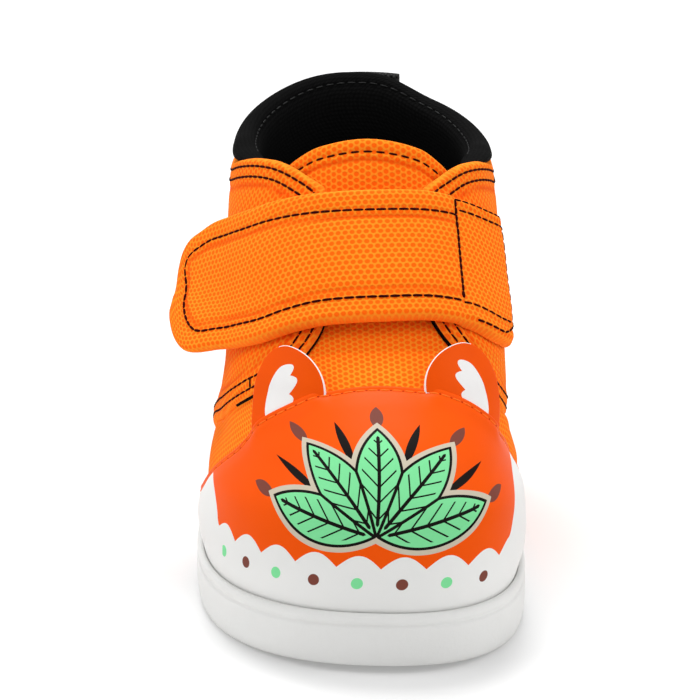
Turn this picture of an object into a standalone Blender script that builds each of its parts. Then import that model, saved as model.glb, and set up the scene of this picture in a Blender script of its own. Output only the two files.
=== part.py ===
"""A toddler's mid-top strap shoe for the right foot, built piece by piece on one last surface.

The toe points to -Y, the medial (big toe) side is +X and the lateral side, where the strap ends, is -X.
All sizes are millimetres and degrees; MM turns them into Blender's metres.
"""

import math
from collections import namedtuple

import bmesh
import bpy
import numpy as np

MM = 0.001

# Driving sizes of the shoe
TOE_Y = -70.0               # front of the sole
HEEL_Y = 70.0               # back of the sole
SOLE_LENGTH = HEEL_Y - TOE_Y
HEEL_SHIFT = -2.8           # the heel's middle, from the last's own centre line
TOE_SWING = 9.5             # how far the toe turns to the medial side
SWING_POWER = 3.0           # the turn gathers towards the toe
RIDGE_BIAS = 2.6            # the instep's ridge lies over the big toe side
RIDGE_BIAS_LEVEL = 0.35     # level where the ridge has all of that bias
FRAME_X = 3.27              # moves the finished shoe, strap end included, to the middle of its frame
FRAME_Y = 0.15

# Layers, counted outwards from the last
JOIN_GAP = 0.3
VAMP_WALL = 1.4
QUARTER_WALL = 1.4
QUARTER_INNER = VAMP_WALL + JOIN_GAP
QUARTER_OUTER = QUARTER_INNER + QUARTER_WALL
CAP_INNER = QUARTER_INNER + 0.15
STRAP_INNER = QUARTER_OUTER + JOIN_GAP
TONGUE_INNER = -1.6         # the tongue is padded, so it is thicker than the vamp
TONGUE_OUTER = 1.2
SOLE_INNER = QUARTER_OUTER + JOIN_GAP

# The cup of the sole and what lies in it
CUP_DEPTH = 5.0
UPPER_BOTTOM_LEVEL = -0.060
INSOLE_THICK = 3.0
INSOLE_CLEAR = 0.6
INSOLE_STATIONS = 31
INSOLE_COLUMNS = 4

# The last, one row for each level from the sole's lip (0) to the collar (1)
Level = namedtuple("Level", "level toe_y heel_y ball_y ball_half heel_half toe_power centre_x")
LEVELS = (
    Level(0.000, -65.3, 65.0, -24.0, 28.6, 23.0, 2.40, 0.0),
    Level(0.096, -66.8, 66.0, -23.0, 30.0, 24.0, 2.40, 0.0),
    Level(0.205, -65.3, 66.3, -20.0, 29.3, 24.2, 2.45, 0.0),
    Level(0.317, -59.3, 66.0, -13.0, 26.6, 23.8, 2.45, 0.2),
    Level(0.445, -44.8, 65.0, -1.0, 25.8, 23.5, 2.40, 0.7),
    Level(0.563, -29.6, 63.8, 10.0, 25.7, 23.4, 2.20, 0.7),
    Level(0.669, -21.3, 62.6, 18.0, 25.4, 23.4, 2.10, 0.4),
    Level(0.805, -11.6, 61.6, 25.0, 24.8, 23.4, 2.05, 0.2),
    Level(0.898, -7.3, 61.4, 28.0, 24.1, 23.2, 2.00, 0.0),
    Level(1.000, -3.3, 61.6, 29.0, 24.0, 23.2, 2.00, 0.0),
)
HEEL_ROUND = 27.0           # length of the round end of the heel
HEEL_POWER = 2.3
WAIST_Y = 16.0              # middle of the waist between ball and heel
WAIST_LENGTH = 24.0
WAIST_MEDIAL = 2.4          # how far the waist goes in on each side at the sole
WAIST_LATERAL = 1.0
WAIST_LEVEL = 0.45          # the waist has faded out at this level
ALONG_POWER = 2.25          # spreads the angles evenly between ball and heel

# Top of the last around the collar: mean height, and how it rises at toe and heel
TOP_MEAN = 85.75
TOP_ENDS_RISE = 3.75
TOP_FRONT_RISE = 1.5

# The sole along its length: height of its lip and of its tread
SoleStation = namedtuple("SoleStation", "y lip tread")
SOLE_STATIONS = (
    SoleStation(-70.0, 12.8, 1.7),
    SoleStation(-58.0, 11.8, 0.6),
    SoleStation(-46.0, 11.1, 0.0),
    SoleStation(-20.0, 10.6, 0.0),
    SoleStation(-8.0, 10.8, 0.0),
    SoleStation(4.0, 11.2, 1.3),
    SoleStation(18.0, 11.8, 1.3),
    SoleStation(30.0, 12.3, 0.0),
    SoleStation(62.0, 13.4, 0.0),
    SoleStation(70.0, 13.6, 0.6),
)

# The sole's side, from the tread edge up: share of the height, and how far it stands out from the last
SoleStep = namedtuple("SoleStep", "share stand_out")
SOLE_STEPS = (
    SoleStep(0.00, 3.50),
    SoleStep(0.10, 4.30),
    SoleStep(0.40, 4.60),
    SoleStep(0.74, 4.55),
    SoleStep(0.77, 4.25),
    SoleStep(0.81, 4.25),
    SoleStep(0.84, 4.55),
    SoleStep(0.95, 4.50),
    SoleStep(1.00, 4.20),
)
SOLE_COLUMNS = 88
GROOVES_Y = (-54.0, -46.0, -38.0, -30.0, -22.0, -14.0, 36.0, 44.0, 52.0, 60.0)
GROOVE_WIDTH = 2.0
GROOVE_DEPTH = 1.2
GROOVE_MARGIN = 8.0

# Front edge of the quarters, lapped over the vamp: angle round the last from the toe, for each side
EdgeRow = namedtuple("EdgeRow", "level lateral medial")
QUARTER_EDGE = (
    EdgeRow(-0.10, 112.0, 108.0),
    EdgeRow(0.10, 108.0, 102.0),
    EdgeRow(0.22, 98.0, 88.0),
    EdgeRow(0.30, 86.0, 74.0),
    EdgeRow(0.35, 71.5, 63.0),
    EdgeRow(0.40, 54.0, 54.0),
    EdgeRow(0.45, 41.0, 45.5),
    EdgeRow(0.50, 28.5, 34.0),
    EdgeRow(0.56, 19.5, 22.5),
    EdgeRow(0.68, 18.5, 22.5),
    EdgeRow(0.80, 18.5, 27.0),
    EdgeRow(0.95, 19.0, 30.0),
)
THROAT_END_LEVEL = 0.44     # the quarters are sewn down below this level and free above it
HEEL_BASE_LEVEL = 0.42
LAP_SHARE = 0.04            # part of the quarter's length that is sewn flat on the vamp
LAP_SLOPE_SHARE = 0.055
LAP_ROW_LEVEL = 0.008
LOWER_ROWS = 8
UPPER_ROWS = 7
UPPER_ROW_POWER = 1.6       # the rows gather just above the throat's end
QUARTER_COLUMNS = 17
VAMP_COLUMNS = 25

# Top edge of the quarters, from the throat corner (share 0) to the back of the heel (share 1)
ToplineRow = namedtuple("ToplineRow", "share level")
QUARTER_TOPLINE = (
    ToplineRow(0.00, 0.845),
    ToplineRow(0.04, 0.876),
    ToplineRow(0.085, 0.903),
    ToplineRow(0.16, 0.928),
    ToplineRow(0.30, 0.937),
    ToplineRow(0.45, 0.935),
    ToplineRow(0.70, 0.915),
    ToplineRow(1.00, 0.900),
)
TOPLINE_EDGE_LEVEL = 0.90

# The toe cap's sewn edge: level at each angle round the toe
CapRow = namedtuple("CapRow", "angle level")
CAP_EDGE = (
    CapRow(-108.0, 0.000),
    CapRow(-100.0, 0.060),
    CapRow(-90.0, 0.140),
    CapRow(-77.5, 0.228),
    CapRow(-65.5, 0.300),
    CapRow(-50.0, 0.365),
    CapRow(-33.0, 0.410),
    CapRow(-17.0, 0.438),
    CapRow(0.0, 0.450),
    CapRow(17.5, 0.438),
    CapRow(35.0, 0.402),
    CapRow(53.0, 0.337),
    CapRow(63.5, 0.265),
    CapRow(75.0, 0.180),
    CapRow(86.0, 0.095),
    CapRow(97.0, 0.000),
)
CAP_LATERAL_END = -104.0
CAP_MEDIAL_END = 93.5
CAP_TUCK_LEVEL = -0.026     # the cap goes down inside the sole's lip
CAP_OVER_VAMP = 0.030       # the cap lies over the vamp's own top edge by this much
CAP_SHOULDER = 0.68         # share of the vamp's half-width where its top edge starts up to the throat end
CAP_COLUMNS = 35
CAP_ROWS = 10

# The tongue: its top edge by angle, and how far it goes under the quarters
TongueRow = namedtuple("TongueRow", "angle level")
TONGUE_TOP = (
    TongueRow(-46.0, 0.880),
    TongueRow(-34.0, 0.926),
    TongueRow(-23.0, 0.949),
    TongueRow(0.0, 0.978),
    TongueRow(25.0, 0.949),
    TongueRow(36.0, 0.920),
    TongueRow(48.0, 0.870),
)
TONGUE_MARGIN = 13.0
TONGUE_SIDE_TOP = 0.88
TONGUE_CLEAR = 0.010
TONGUE_SIDE_CLEAR = 0.016
TONGUE_COLUMNS = 19
TONGUE_ROWS = 12

# The strap by angle: its edges, lift off the quarter, thickness, and turn of its crosswise lines
StrapRow = namedtuple("StrapRow", "angle low high lift thick skew")
STRAP_ROWS = (
    StrapRow(-87.0, 0.444, 0.692, 8.0, 3.0, 0.0),
    StrapRow(-79.0, 0.450, 0.724, 4.8, 3.0, 0.0),
    StrapRow(-70.0, 0.462, 0.765, 1.9, 3.0, 0.0),
    StrapRow(-60.0, 0.482, 0.788, 0.3, 3.0, 0.0),
    StrapRow(-46.0, 0.502, 0.810, 0.0, 3.0, 0.0),
    StrapRow(-32.0, 0.526, 0.828, 0.0, 3.0, 0.0),
    StrapRow(-17.0, 0.542, 0.840, 0.0, 3.0, 0.0),
    StrapRow(0.0, 0.559, 0.845, 0.0, 3.0, 0.0),
    StrapRow(17.0, 0.565, 0.843, 0.0, 3.0, 0.0),
    StrapRow(33.0, 0.556, 0.825, 0.0, 2.8, 0.0),
    StrapRow(53.0, 0.511, 0.800, 0.0, 2.3, 1.0),
    StrapRow(70.0, 0.478, 0.780, 0.0, 1.9, 3.0),
)
STRAP_END_TURN = 9.0        # degrees of the strap's length taken by its rounded end corners
STRAP_CORNER_LEVEL = 0.090  # height of those corners
STRAP_STATIONS = 34
STRAP_CORNER_STATIONS = 6
STRAP_LOOP = 16

# The padded collar: its section from the inside over the roll to the outside, and its size by angle
CollarPoint = namedtuple("CollarPoint", "offset height")
COLLAR_SECTION = (
    CollarPoint(-1.6, -15.0),
    CollarPoint(-2.8, -10.0),
    CollarPoint(-3.2, -4.0),
    CollarPoint(-3.0, 2.0),
    CollarPoint(-1.8, 5.4),
    CollarPoint(0.2, 7.0),
    CollarPoint(1.9, 6.2),
    CollarPoint(3.0, 4.0),
    CollarPoint(3.0, 1.6),
    CollarPoint(2.2, 0.5),
    CollarPoint(1.3, 0.1),
    CollarPoint(1.35, -5.0),
    CollarPoint(0.9, -12.0),
    CollarPoint(-0.4, -15.6),
)
CollarRow = namedtuple("CollarRow", "angle rise drop")
COLLAR_ROWS = (
    CollarRow(46.0, 0.08, 0.15),
    CollarRow(54.0, 0.26, 0.45),
    CollarRow(66.0, 0.40, 0.90),
    CollarRow(90.0, 0.44, 1.00),
    CollarRow(120.0, 0.34, 1.00),
    CollarRow(150.0, 0.50, 1.00),
    CollarRow(180.0, 0.98, 1.00),
    CollarRow(210.0, 1.05, 1.00),
    CollarRow(240.0, 0.85, 1.00),
    CollarRow(270.0, 0.60, 1.00),
    CollarRow(294.0, 0.42, 0.90),
    CollarRow(306.0, 0.26, 0.45),
    CollarRow(314.0, 0.08, 0.15),
)
COLLAR_MEDIAL_END = 50.0
COLLAR_LATERAL_END = 314.0
COLLAR_STATIONS = 40

# The two ear-shaped tabs that stand up behind the cap's edge
Ear = namedtuple("Ear", "name centre half_width peak_level")
EARS = (
    Ear("ear_tab_lateral", -33.0, 16.8, 0.492),
    Ear("ear_tab_medial", 31.5, 17.0, 0.500),
)
EAR_INNER = 1.8
EAR_LEAN = 5.6
EAR_THICK = 1.2
EAR_CLEAR = 0.003
EAR_ROUND = 0.985           # how nearly the round of the top closes
EAR_POWER = 2.1
EAR_COLUMNS = 11
EAR_ROWS = 9

# The webbing loop at the back of the heel
PULL_TAB_HALF = 11.5        # degrees to each side of the heel's middle
PULL_TAB_FOOT = -15.0
PULL_TAB_TOP = 6.4
PULL_TAB_THICK = 2.0
PULL_TAB_COLUMNS = 6
PULL_TAB_ROWS = 6

LEVEL_STEP = 0.002          # steps for the slope of the last's surface
ANGLE_STEP = 0.2
MERGE = 1e-7


def smooth_between(places, values, at):
    """A smooth curve through a table's points that never swings past them, level beyond its ends."""
    places = np.asarray(places, float)
    values = np.asarray(values, float)
    steps = np.diff(places)
    rises = np.diff(values) / steps
    slopes = np.concatenate([rises[:1], np.zeros(len(places) - 2), rises[-1:]])
    for k in range(1, len(places) - 1):
        if rises[k - 1] * rises[k] > 0:
            before = 2 * steps[k] + steps[k - 1]
            after = steps[k] + 2 * steps[k - 1]
            slopes[k] = (before + after) / (before / rises[k - 1] + after / rises[k])
    at = np.clip(at, places[0], places[-1])
    k = np.clip(np.searchsorted(places, at, side="right") - 1, 0, len(places) - 2)
    t = (at - places[k]) / steps[k]
    start = (1 + 2 * t) * (1 - t) ** 2 * values[k] + t * (1 - t) ** 2 * steps[k] * slopes[k]
    end = t * t * (3 - 2 * t) * values[k + 1] + t * t * (t - 1) * steps[k] * slopes[k + 1]
    return start + end


def table(rows, column, at):
    """One column of a table, read at places along its first column."""
    return smooth_between([row[0] for row in rows], [getattr(row, column) for row in rows], at)


def ease(t):
    """0 to 1 with level ends."""
    t = np.clip(t, 0.0, 1.0)
    return t * t * (3 - 2 * t)


def collar_top(angle):
    turn = np.radians(angle)
    return TOP_MEAN + TOP_ENDS_RISE * np.cos(2 * turn) + TOP_FRONT_RISE * np.cos(turn)


def last_point(angle, level):
    """Points of the last: angle from the toe, positive to the medial side, and level from lip to collar."""
    angle, level = np.broadcast_arrays(np.asarray(angle, float), np.asarray(level, float))
    cosine = np.cos(np.radians(angle))
    sine = np.sin(np.radians(angle))
    ball_y = table(LEVELS, "ball_y", level)
    heel_y = table(LEVELS, "heel_y", level)
    toe_power = table(LEVELS, "toe_power", level)
    forward = np.clip(cosine, 0.0, None) ** (2 / toe_power)
    backward = np.clip(-cosine, 0.0, None) ** (2 / ALONG_POWER)
    y = ball_y - forward * (ball_y - table(LEVELS, "toe_y", level)) + backward * (heel_y - ball_y)
    into_heel = np.clip((y - heel_y + HEEL_ROUND) / HEEL_ROUND, 0.0, 1.0)
    heel_end = (1 - into_heel ** HEEL_POWER) ** (1 / HEEL_POWER)
    toe_end = np.abs(sine) ** (2 / toe_power)
    ball_half = table(LEVELS, "ball_half", level)
    half = ball_half + (table(LEVELS, "heel_half", level) - ball_half) * ease(backward)
    waist = np.where(sine > 0, WAIST_MEDIAL, WAIST_LATERAL) * np.exp(-(((y - WAIST_Y) / WAIST_LENGTH) ** 2))
    half = half - waist * (1 - ease(level / WAIST_LEVEL))
    swing = HEEL_SHIFT + TOE_SWING * np.clip((HEEL_Y - y) / SOLE_LENGTH, 0.0, None) ** SWING_POWER
    bias = RIDGE_BIAS * ease(level / RIDGE_BIAS_LEVEL) * ((1 + cosine) / 2) ** 2
    centre_x = table(LEVELS, "centre_x", level) + swing + bias
    x = half * np.sign(sine) * np.where(cosine >= 0, toe_end, heel_end) + centre_x
    lip = table(SOLE_STATIONS, "lip", y)
    return np.stack([x, y, lip + level * (collar_top(angle) - lip)], axis=-1)


def skin(angle, level, offset):
    """Points at a distance from the last, along its outward normal."""
    angle, level, offset = np.broadcast_arrays(*(np.asarray(value, float) for value in (angle, level, offset)))
    around = last_point(angle + ANGLE_STEP, level) - last_point(angle - ANGLE_STEP, level)
    upward = last_point(angle, level + LEVEL_STEP) - last_point(angle, level - LEVEL_STEP)
    normal = np.cross(around, upward)
    normal /= np.linalg.norm(normal, axis=-1, keepdims=True)
    return last_point(angle, level) + offset[..., None] * normal


def quarter_edge(level):
    """Signed angles of the quarters' front edges."""
    return -table(QUARTER_EDGE, "lateral", level), table(QUARTER_EDGE, "medial", level)


def topline_level(angle):
    """Level of the quarters' top edge at an angle counted from 0 to 360."""
    lateral, medial = quarter_edge(TOPLINE_EDGE_LEVEL)
    edge = np.where(angle > 180, -lateral, medial)
    share = (np.minimum(angle, 360 - angle) - edge) / (180 - edge)
    return table(QUARTER_TOPLINE, "level", share)


def vamp_top_level(angle):
    """Top edge of the vamp: under the cap in the middle, up to the throat's ends at the sides."""
    lateral, medial = quarter_edge(THROAT_END_LEVEL)
    share = np.abs(angle) / np.where(angle < 0, -lateral, medial)
    rise = ease((share - CAP_SHOULDER) / (1 - CAP_SHOULDER))
    under_cap = table(CAP_EDGE, "level", angle) - CAP_OVER_VAMP
    return under_cap + (THROAT_END_LEVEL - under_cap) * rise


def level_per_mm(angle):
    """Share of the last's height that one millimetre takes, at an angle."""
    foot = last_point(angle, 0.0)
    return 1 / (collar_top(angle) - foot[..., 2])


def hex_colour(code):
    """Linear colour of a six-digit sRGB code."""
    shares = [int(code[k:k + 2], 16) / 255 for k in (0, 2, 4)]
    linear = [s / 12.92 if s <= 0.04045 else ((s + 0.055) / 1.055) ** 2.4 for s in shares]
    return (*linear, 1.0)


def add_piece(name, mesh_data, colour, roughness):
    """Makes the named object from a bmesh in millimetres, with its material, on the shoe's frame."""
    bmesh.ops.scale(mesh_data, vec=(MM, MM, MM), verts=mesh_data.verts)
    bmesh.ops.remove_doubles(mesh_data, verts=mesh_data.verts, dist=MERGE)
    bmesh.ops.recalc_face_normals(mesh_data, faces=mesh_data.faces)
    mesh = bpy.data.meshes.new(name)
    mesh_data.to_mesh(mesh)
    mesh_data.free()
    mesh.shade_smooth()
    mesh.set_sharp_from_angle(angle=math.radians(40))
    material = bpy.data.materials.new(name)
    material.use_nodes = True
    surface = material.node_tree.nodes["Principled BSDF"]
    surface.inputs["Base Color"].default_value = hex_colour(colour)
    surface.inputs["Roughness"].default_value = roughness
    mesh.materials.append(material)
    piece = bpy.data.objects.new(name, mesh)
    bpy.context.scene.collection.objects.link(piece)
    piece.parent = shoe_frame
    return piece


def shell(outer, inner, keep=None, closed=False):
    """A wall between two point grids (rows, columns), where keep marks the cells that are there."""
    rows, columns = outer.shape[:2]
    cells = columns if closed else columns - 1
    if keep is None:
        keep = np.ones((rows - 1, cells), bool)
    wall = bmesh.new()
    faces = [[[wall.verts.new(point) for point in row] for row in side] for side in (outer, inner)]
    for r in range(rows - 1):
        for c in range(cells):
            if not keep[r, c]:
                continue
            d = (c + 1) % columns
            corners = ((r, c), (r, d), (r + 1, d), (r + 1, c))
            beside = ((r - 1, c), (r, c + 1), (r + 1, c), (r, c - 1))
            wall.faces.new([faces[0][i][j] for i, j in corners])
            wall.faces.new([faces[1][i][j] for i, j in reversed(corners)])
            for k, (i, j) in enumerate(beside):
                j = j % cells if closed else j
                if 0 <= i < rows - 1 and 0 <= j < cells and keep[i, j]:
                    continue
                (p, q), (s, t) = corners[k], corners[(k + 1) % 4]
                wall.faces.new([faces[0][s][t], faces[0][p][q], faces[1][p][q], faces[1][s][t]])
    bmesh.ops.delete(wall, geom=[v for v in wall.verts if not v.link_faces], context="VERTS")
    return wall


def tube(loops):
    """A closed body through a row of point loops, with strips of faces across both ends."""
    body = bmesh.new()
    rings = [[body.verts.new(point) for point in loop] for loop in loops]
    count = len(rings[0])
    for here, there in zip(rings, rings[1:]):
        for k in range(count):
            n = (k + 1) % count
            body.faces.new([here[k], here[n], there[n], there[k]])
    for ring in (rings[0], rings[-1]):
        for k in range(count // 2 - 1):
            body.faces.new([ring[k], ring[k + 1], ring[count - 2 - k], ring[count - 1 - k]])
    return body


for old in list(bpy.data.objects):
    bpy.data.objects.remove(old)
shoe_frame = bpy.data.objects.new("shoe_frame", None)
shoe_frame.location = (FRAME_X * MM, FRAME_Y * MM, 0.0)
bpy.context.scene.collection.objects.link(shoe_frame)

# Outsole: a rubber cup with its side steps, arch and toe spring
sole_angles = np.arange(SOLE_COLUMNS) * 360 / SOLE_COLUMNS
lip_z = last_point(sole_angles, 0.0)[:, 2]
sole_loops = []
for step in SOLE_STEPS:
    loop = skin(sole_angles, UPPER_BOTTOM_LEVEL, step.stand_out)
    tread_z = table(SOLE_STATIONS, "tread", loop[:, 1])
    loop[:, 2] = tread_z + step.share * (lip_z - tread_z)
    sole_loops.append(loop)
for depth in (0.0, CUP_DEPTH):
    loop = skin(sole_angles, UPPER_BOTTOM_LEVEL, SOLE_INNER)
    loop[:, 2] = lip_z - depth
    sole_loops.append(loop)
sole = bmesh.new()
sole_rings = [[sole.verts.new(point) for point in loop] for loop in sole_loops]
for below, above in zip(sole_rings, sole_rings[1:]):
    for k in range(SOLE_COLUMNS):
        n = (k + 1) % SOLE_COLUMNS
        sole.faces.new([below[k], below[n], above[n], above[k]])
for ring in (sole_rings[0], sole_rings[-1]):
    for k in range(SOLE_COLUMNS // 2):
        across = [ring[k], ring[k + 1], ring[-k - 1], ring[-k]]
        sole.faces.new(list(dict.fromkeys(across)))
outsole = add_piece("outsole", sole, "EBEBEB", 0.55)

# Tread grooves across the forefoot and the heel
grooves = bmesh.new()
tread_edge = sole_loops[0]
half_turn = SOLE_COLUMNS // 2
for groove_y in GROOVES_Y:
    medial_x = np.interp(groove_y, tread_edge[:half_turn, 1], tread_edge[:half_turn, 0]) - GROOVE_MARGIN
    lateral_edge = tread_edge[:half_turn:-1]
    lateral_x = np.interp(groove_y, lateral_edge[:, 1], lateral_edge[:, 0]) + GROOVE_MARGIN
    low_z = float(table(SOLE_STATIONS, "tread", groove_y))
    bar = bmesh.ops.create_cube(grooves, size=1.0)["verts"]
    bmesh.ops.scale(grooves, vec=(medial_x - lateral_x, GROOVE_WIDTH, 2 * GROOVE_DEPTH), verts=bar)
    bmesh.ops.translate(grooves, vec=((medial_x + lateral_x) / 2, groove_y, low_z), verts=bar)
groove_cutter = add_piece("groove_cutter", grooves, "EBEBEB", 0.55)
groove_cutter.hide_render = True
groove_cutter.display_type = "WIRE"
tread_cut = outsole.modifiers.new("tread grooves", "BOOLEAN")
tread_cut.object = groove_cutter
tread_cut.operation = "DIFFERENCE"
tread_cut.solver = "EXACT"

# Insole: a flat footbed in the cup
bed_angles = np.linspace(0.0, 180.0, INSOLE_STATIONS)
bed_sides = [skin(sign * bed_angles, UPPER_BOTTOM_LEVEL, -INSOLE_CLEAR) for sign in (-1, 1)]
across = np.linspace(0.0, 1.0, INSOLE_COLUMNS)[None, :, None]
bed_bottom = bed_sides[0][:, None] * (1 - across) + bed_sides[1][:, None] * across
bed_bottom[..., 2] = table(SOLE_STATIONS, "lip", bed_bottom[..., 1]) - CUP_DEPTH + JOIN_GAP
bed_top = bed_bottom + (0.0, 0.0, INSOLE_THICK)
add_piece("insole", shell(bed_top, bed_bottom), "1A1A1A", 0.9)

# Upper: quarters lapped and sewn on the vamp, open along the throat, at the collar and underneath
lap_shares = [0.0, LAP_SHARE / 2, LAP_SHARE, LAP_SLOPE_SHARE]
shares = np.concatenate([lap_shares, np.linspace(2 * LAP_SHARE, 1.0, QUARTER_COLUMNS)])
throat_t = np.linspace(0.0, 1.0, LOWER_ROWS + 1)
edge_levels = UPPER_BOTTOM_LEVEL + throat_t * (THROAT_END_LEVEL - UPPER_BOTTOM_LEVEL)
quarter_base = THROAT_END_LEVEL + (HEEL_BASE_LEVEL - THROAT_END_LEVEL) * ease(shares)
quarter_top = table(QUARTER_TOPLINE, "level", shares)
lower = UPPER_BOTTOM_LEVEL + throat_t[:, None] * (quarter_base - UPPER_BOTTOM_LEVEL)
upper_t = np.linspace(0.0, 1.0, UPPER_ROWS + 1)[:, None] ** UPPER_ROW_POWER
free_foot = quarter_base + LAP_ROW_LEVEL
quarter_levels = np.concatenate([lower, free_foot + upper_t * (quarter_top - free_foot)])
sewn = np.arange(len(quarter_levels))[:, None] <= LOWER_ROWS
quarter_inner = np.where(sewn & (shares <= LAP_SHARE), 0.0, QUARTER_INNER)
sides = []
for edge in quarter_edge(quarter_levels):
    angles = edge + (np.sign(edge) * 180 - edge) * shares
    sides.append((angles, quarter_levels, np.full_like(angles, QUARTER_OUTER), quarter_inner))
lateral_quarter = [grid[:, ::-1] for grid in sides[0]]
medial_quarter = [grid[:, :-1] for grid in sides[1]]
vamp_share = np.linspace(0.0, 1.0, VAMP_COLUMNS)
lateral_edge, medial_edge = (edge[:, None] for edge in quarter_edge(edge_levels))
vamp_angles = lateral_edge + (medial_edge - lateral_edge) * vamp_share
vamp_top = vamp_top_level(vamp_angles[-1])
vamp_levels = UPPER_BOTTOM_LEVEL + throat_t[:, None] * (vamp_top - UPPER_BOTTOM_LEVEL)
fill = ((0, len(quarter_levels) - len(vamp_levels)), (0, 0))
vamp_angles = np.pad(vamp_angles, fill, mode="edge")
vamp_levels = np.pad(vamp_levels, fill, mode="edge")
vamp = [vamp_angles, vamp_levels, np.full_like(vamp_angles, VAMP_WALL), np.zeros_like(vamp_angles)]
angles, levels, outer, inner = (
    np.concatenate(grids, axis=1) for grids in zip(lateral_quarter, vamp, medial_quarter)
)
cell_there = np.ones((len(levels) - 1, levels.shape[1]), bool)
throat_from = len(shares) - 1
cell_there[LOWER_ROWS:, throat_from:throat_from + VAMP_COLUMNS + 1] = False
upper_wall = shell(skin(angles, levels, outer), skin(angles, levels, inner), cell_there, closed=True)
add_piece("upper", upper_wall, "FF7A0C", 0.85)

# Toe cap: sewn over the vamp, tucked inside the sole's lip
cap_angles = np.linspace(CAP_LATERAL_END, CAP_MEDIAL_END, CAP_COLUMNS)
cap_t = np.linspace(0.0, 1.0, CAP_ROWS + 1)[:, None]
cap_levels = CAP_TUCK_LEVEL + cap_t * (table(CAP_EDGE, "level", cap_angles) - CAP_TUCK_LEVEL)
cap_outer = skin(cap_angles, cap_levels, QUARTER_OUTER)
cap_inner = skin(cap_angles, cap_levels, CAP_INNER)
add_piece("toe_cap", shell(cap_outer, cap_inner), "F9610F", 0.4)

# Tongue: padded, under both quarters
tongue_t = np.linspace(0.0, 1.0, TONGUE_ROWS + 1)[:, None]
side_foot = THROAT_END_LEVEL + TONGUE_SIDE_CLEAR
tongue_edges = quarter_edge(side_foot + tongue_t * (TONGUE_SIDE_TOP - side_foot))
tongue_lateral = tongue_edges[0] - TONGUE_MARGIN
tongue_medial = tongue_edges[1] + TONGUE_MARGIN
tongue_angles = tongue_lateral + (tongue_medial - tongue_lateral) * np.linspace(0.0, 1.0, TONGUE_COLUMNS)
tongue_foot = vamp_top_level(tongue_angles[0]) + TONGUE_CLEAR
past_throat = ease((np.abs(tongue_angles[0]) - 30) / TONGUE_MARGIN)
tongue_foot = tongue_foot + (TONGUE_SIDE_CLEAR - TONGUE_CLEAR) * past_throat
tongue_head = table(TONGUE_TOP, "level", tongue_angles[-1])
tongue_levels = tongue_foot + tongue_t * (tongue_head - tongue_foot)
tongue_outer = skin(tongue_angles, tongue_levels, TONGUE_OUTER)
tongue_inner = skin(tongue_angles, tongue_levels, TONGUE_INNER)
add_piece("tongue", shell(tongue_outer, tongue_inner), "FF7A0C", 0.85)

# Collar: a padded roll round the ankle, deepest and highest at the heel
collar_angles = np.linspace(COLLAR_MEDIAL_END, COLLAR_LATERAL_END, COLLAR_STATIONS)[:, None]
section_offset = np.array([point.offset for point in COLLAR_SECTION])
section_height = np.array([point.height for point in COLLAR_SECTION])
rise = table(COLLAR_ROWS, "rise", collar_angles)
drop = table(COLLAR_ROWS, "drop", collar_angles)
scale = np.where(section_height > 0, rise, drop)
collar_foot = topline_level(collar_angles) + JOIN_GAP * level_per_mm(collar_angles)
collar_levels = collar_foot + section_height * scale * level_per_mm(collar_angles)
add_piece("collar", tube(skin(collar_angles, collar_levels, section_offset)), "101010", 0.9)

# Strap: sewn on the medial quarter, over the tongue, its free end standing off the lateral side
strap_from = STRAP_ROWS[-1].angle
strap_to = STRAP_ROWS[0].angle
turn_in = np.radians(np.linspace(0.0, 80.0, STRAP_CORNER_STATIONS))
run = np.linspace(strap_from, strap_to + STRAP_END_TURN, STRAP_STATIONS)
corner_angles = strap_to + STRAP_END_TURN * (1 - np.sin(turn_in))
strap_angles = np.concatenate([run, corner_angles[1:]])[:, None]
pull_in = np.concatenate([np.zeros(len(run)), STRAP_CORNER_LEVEL * (1 - np.cos(turn_in[1:]))])[:, None]
low = table(STRAP_ROWS, "low", strap_angles) + pull_in
high = table(STRAP_ROWS, "high", strap_angles) - pull_in
loop_turn = (np.arange(STRAP_LOOP) + 0.5) * 2 * np.pi / STRAP_LOOP
across_strap = np.sign(np.cos(loop_turn)) * np.abs(np.cos(loop_turn)) ** 0.30
through_strap = np.sign(np.sin(loop_turn)) * np.abs(np.sin(loop_turn)) ** 0.45
strap_levels = (low + high) / 2 + across_strap * (high - low) / 2
strap_thick = table(STRAP_ROWS, "thick", strap_angles)
strap_offset = STRAP_INNER + table(STRAP_ROWS, "lift", strap_angles) + strap_thick * (1 + through_strap) / 2
strap_turned = strap_angles - across_strap * table(STRAP_ROWS, "skew", strap_angles)
add_piece("strap", tube(skin(strap_turned, strap_levels, strap_offset)), "FF7A0C", 0.85)

# Ear tabs: leather flaps that follow the toe's curve and lean away from it
for ear in EARS:
    ear_t = np.linspace(0.0, 1.0, EAR_ROWS + 1)[:, None]
    width = (1 - (EAR_ROUND * ear_t) ** EAR_POWER) ** (1 / EAR_POWER)
    ear_angles = ear.centre + ear.half_width * width * np.linspace(-1.0, 1.0, EAR_COLUMNS)
    ear_foot = table(CAP_EDGE, "level", ear_angles) + EAR_CLEAR
    ear_levels = ear_foot + ear_t * (ear.peak_level - ear_foot)
    ear_inner = EAR_INNER + EAR_LEAN * ear_t
    ear_wall = shell(skin(ear_angles, ear_levels, ear_inner + EAR_THICK), skin(ear_angles, ear_levels, ear_inner))
    add_piece(ear.name, ear_wall, "FF6212", 0.4)

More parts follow.
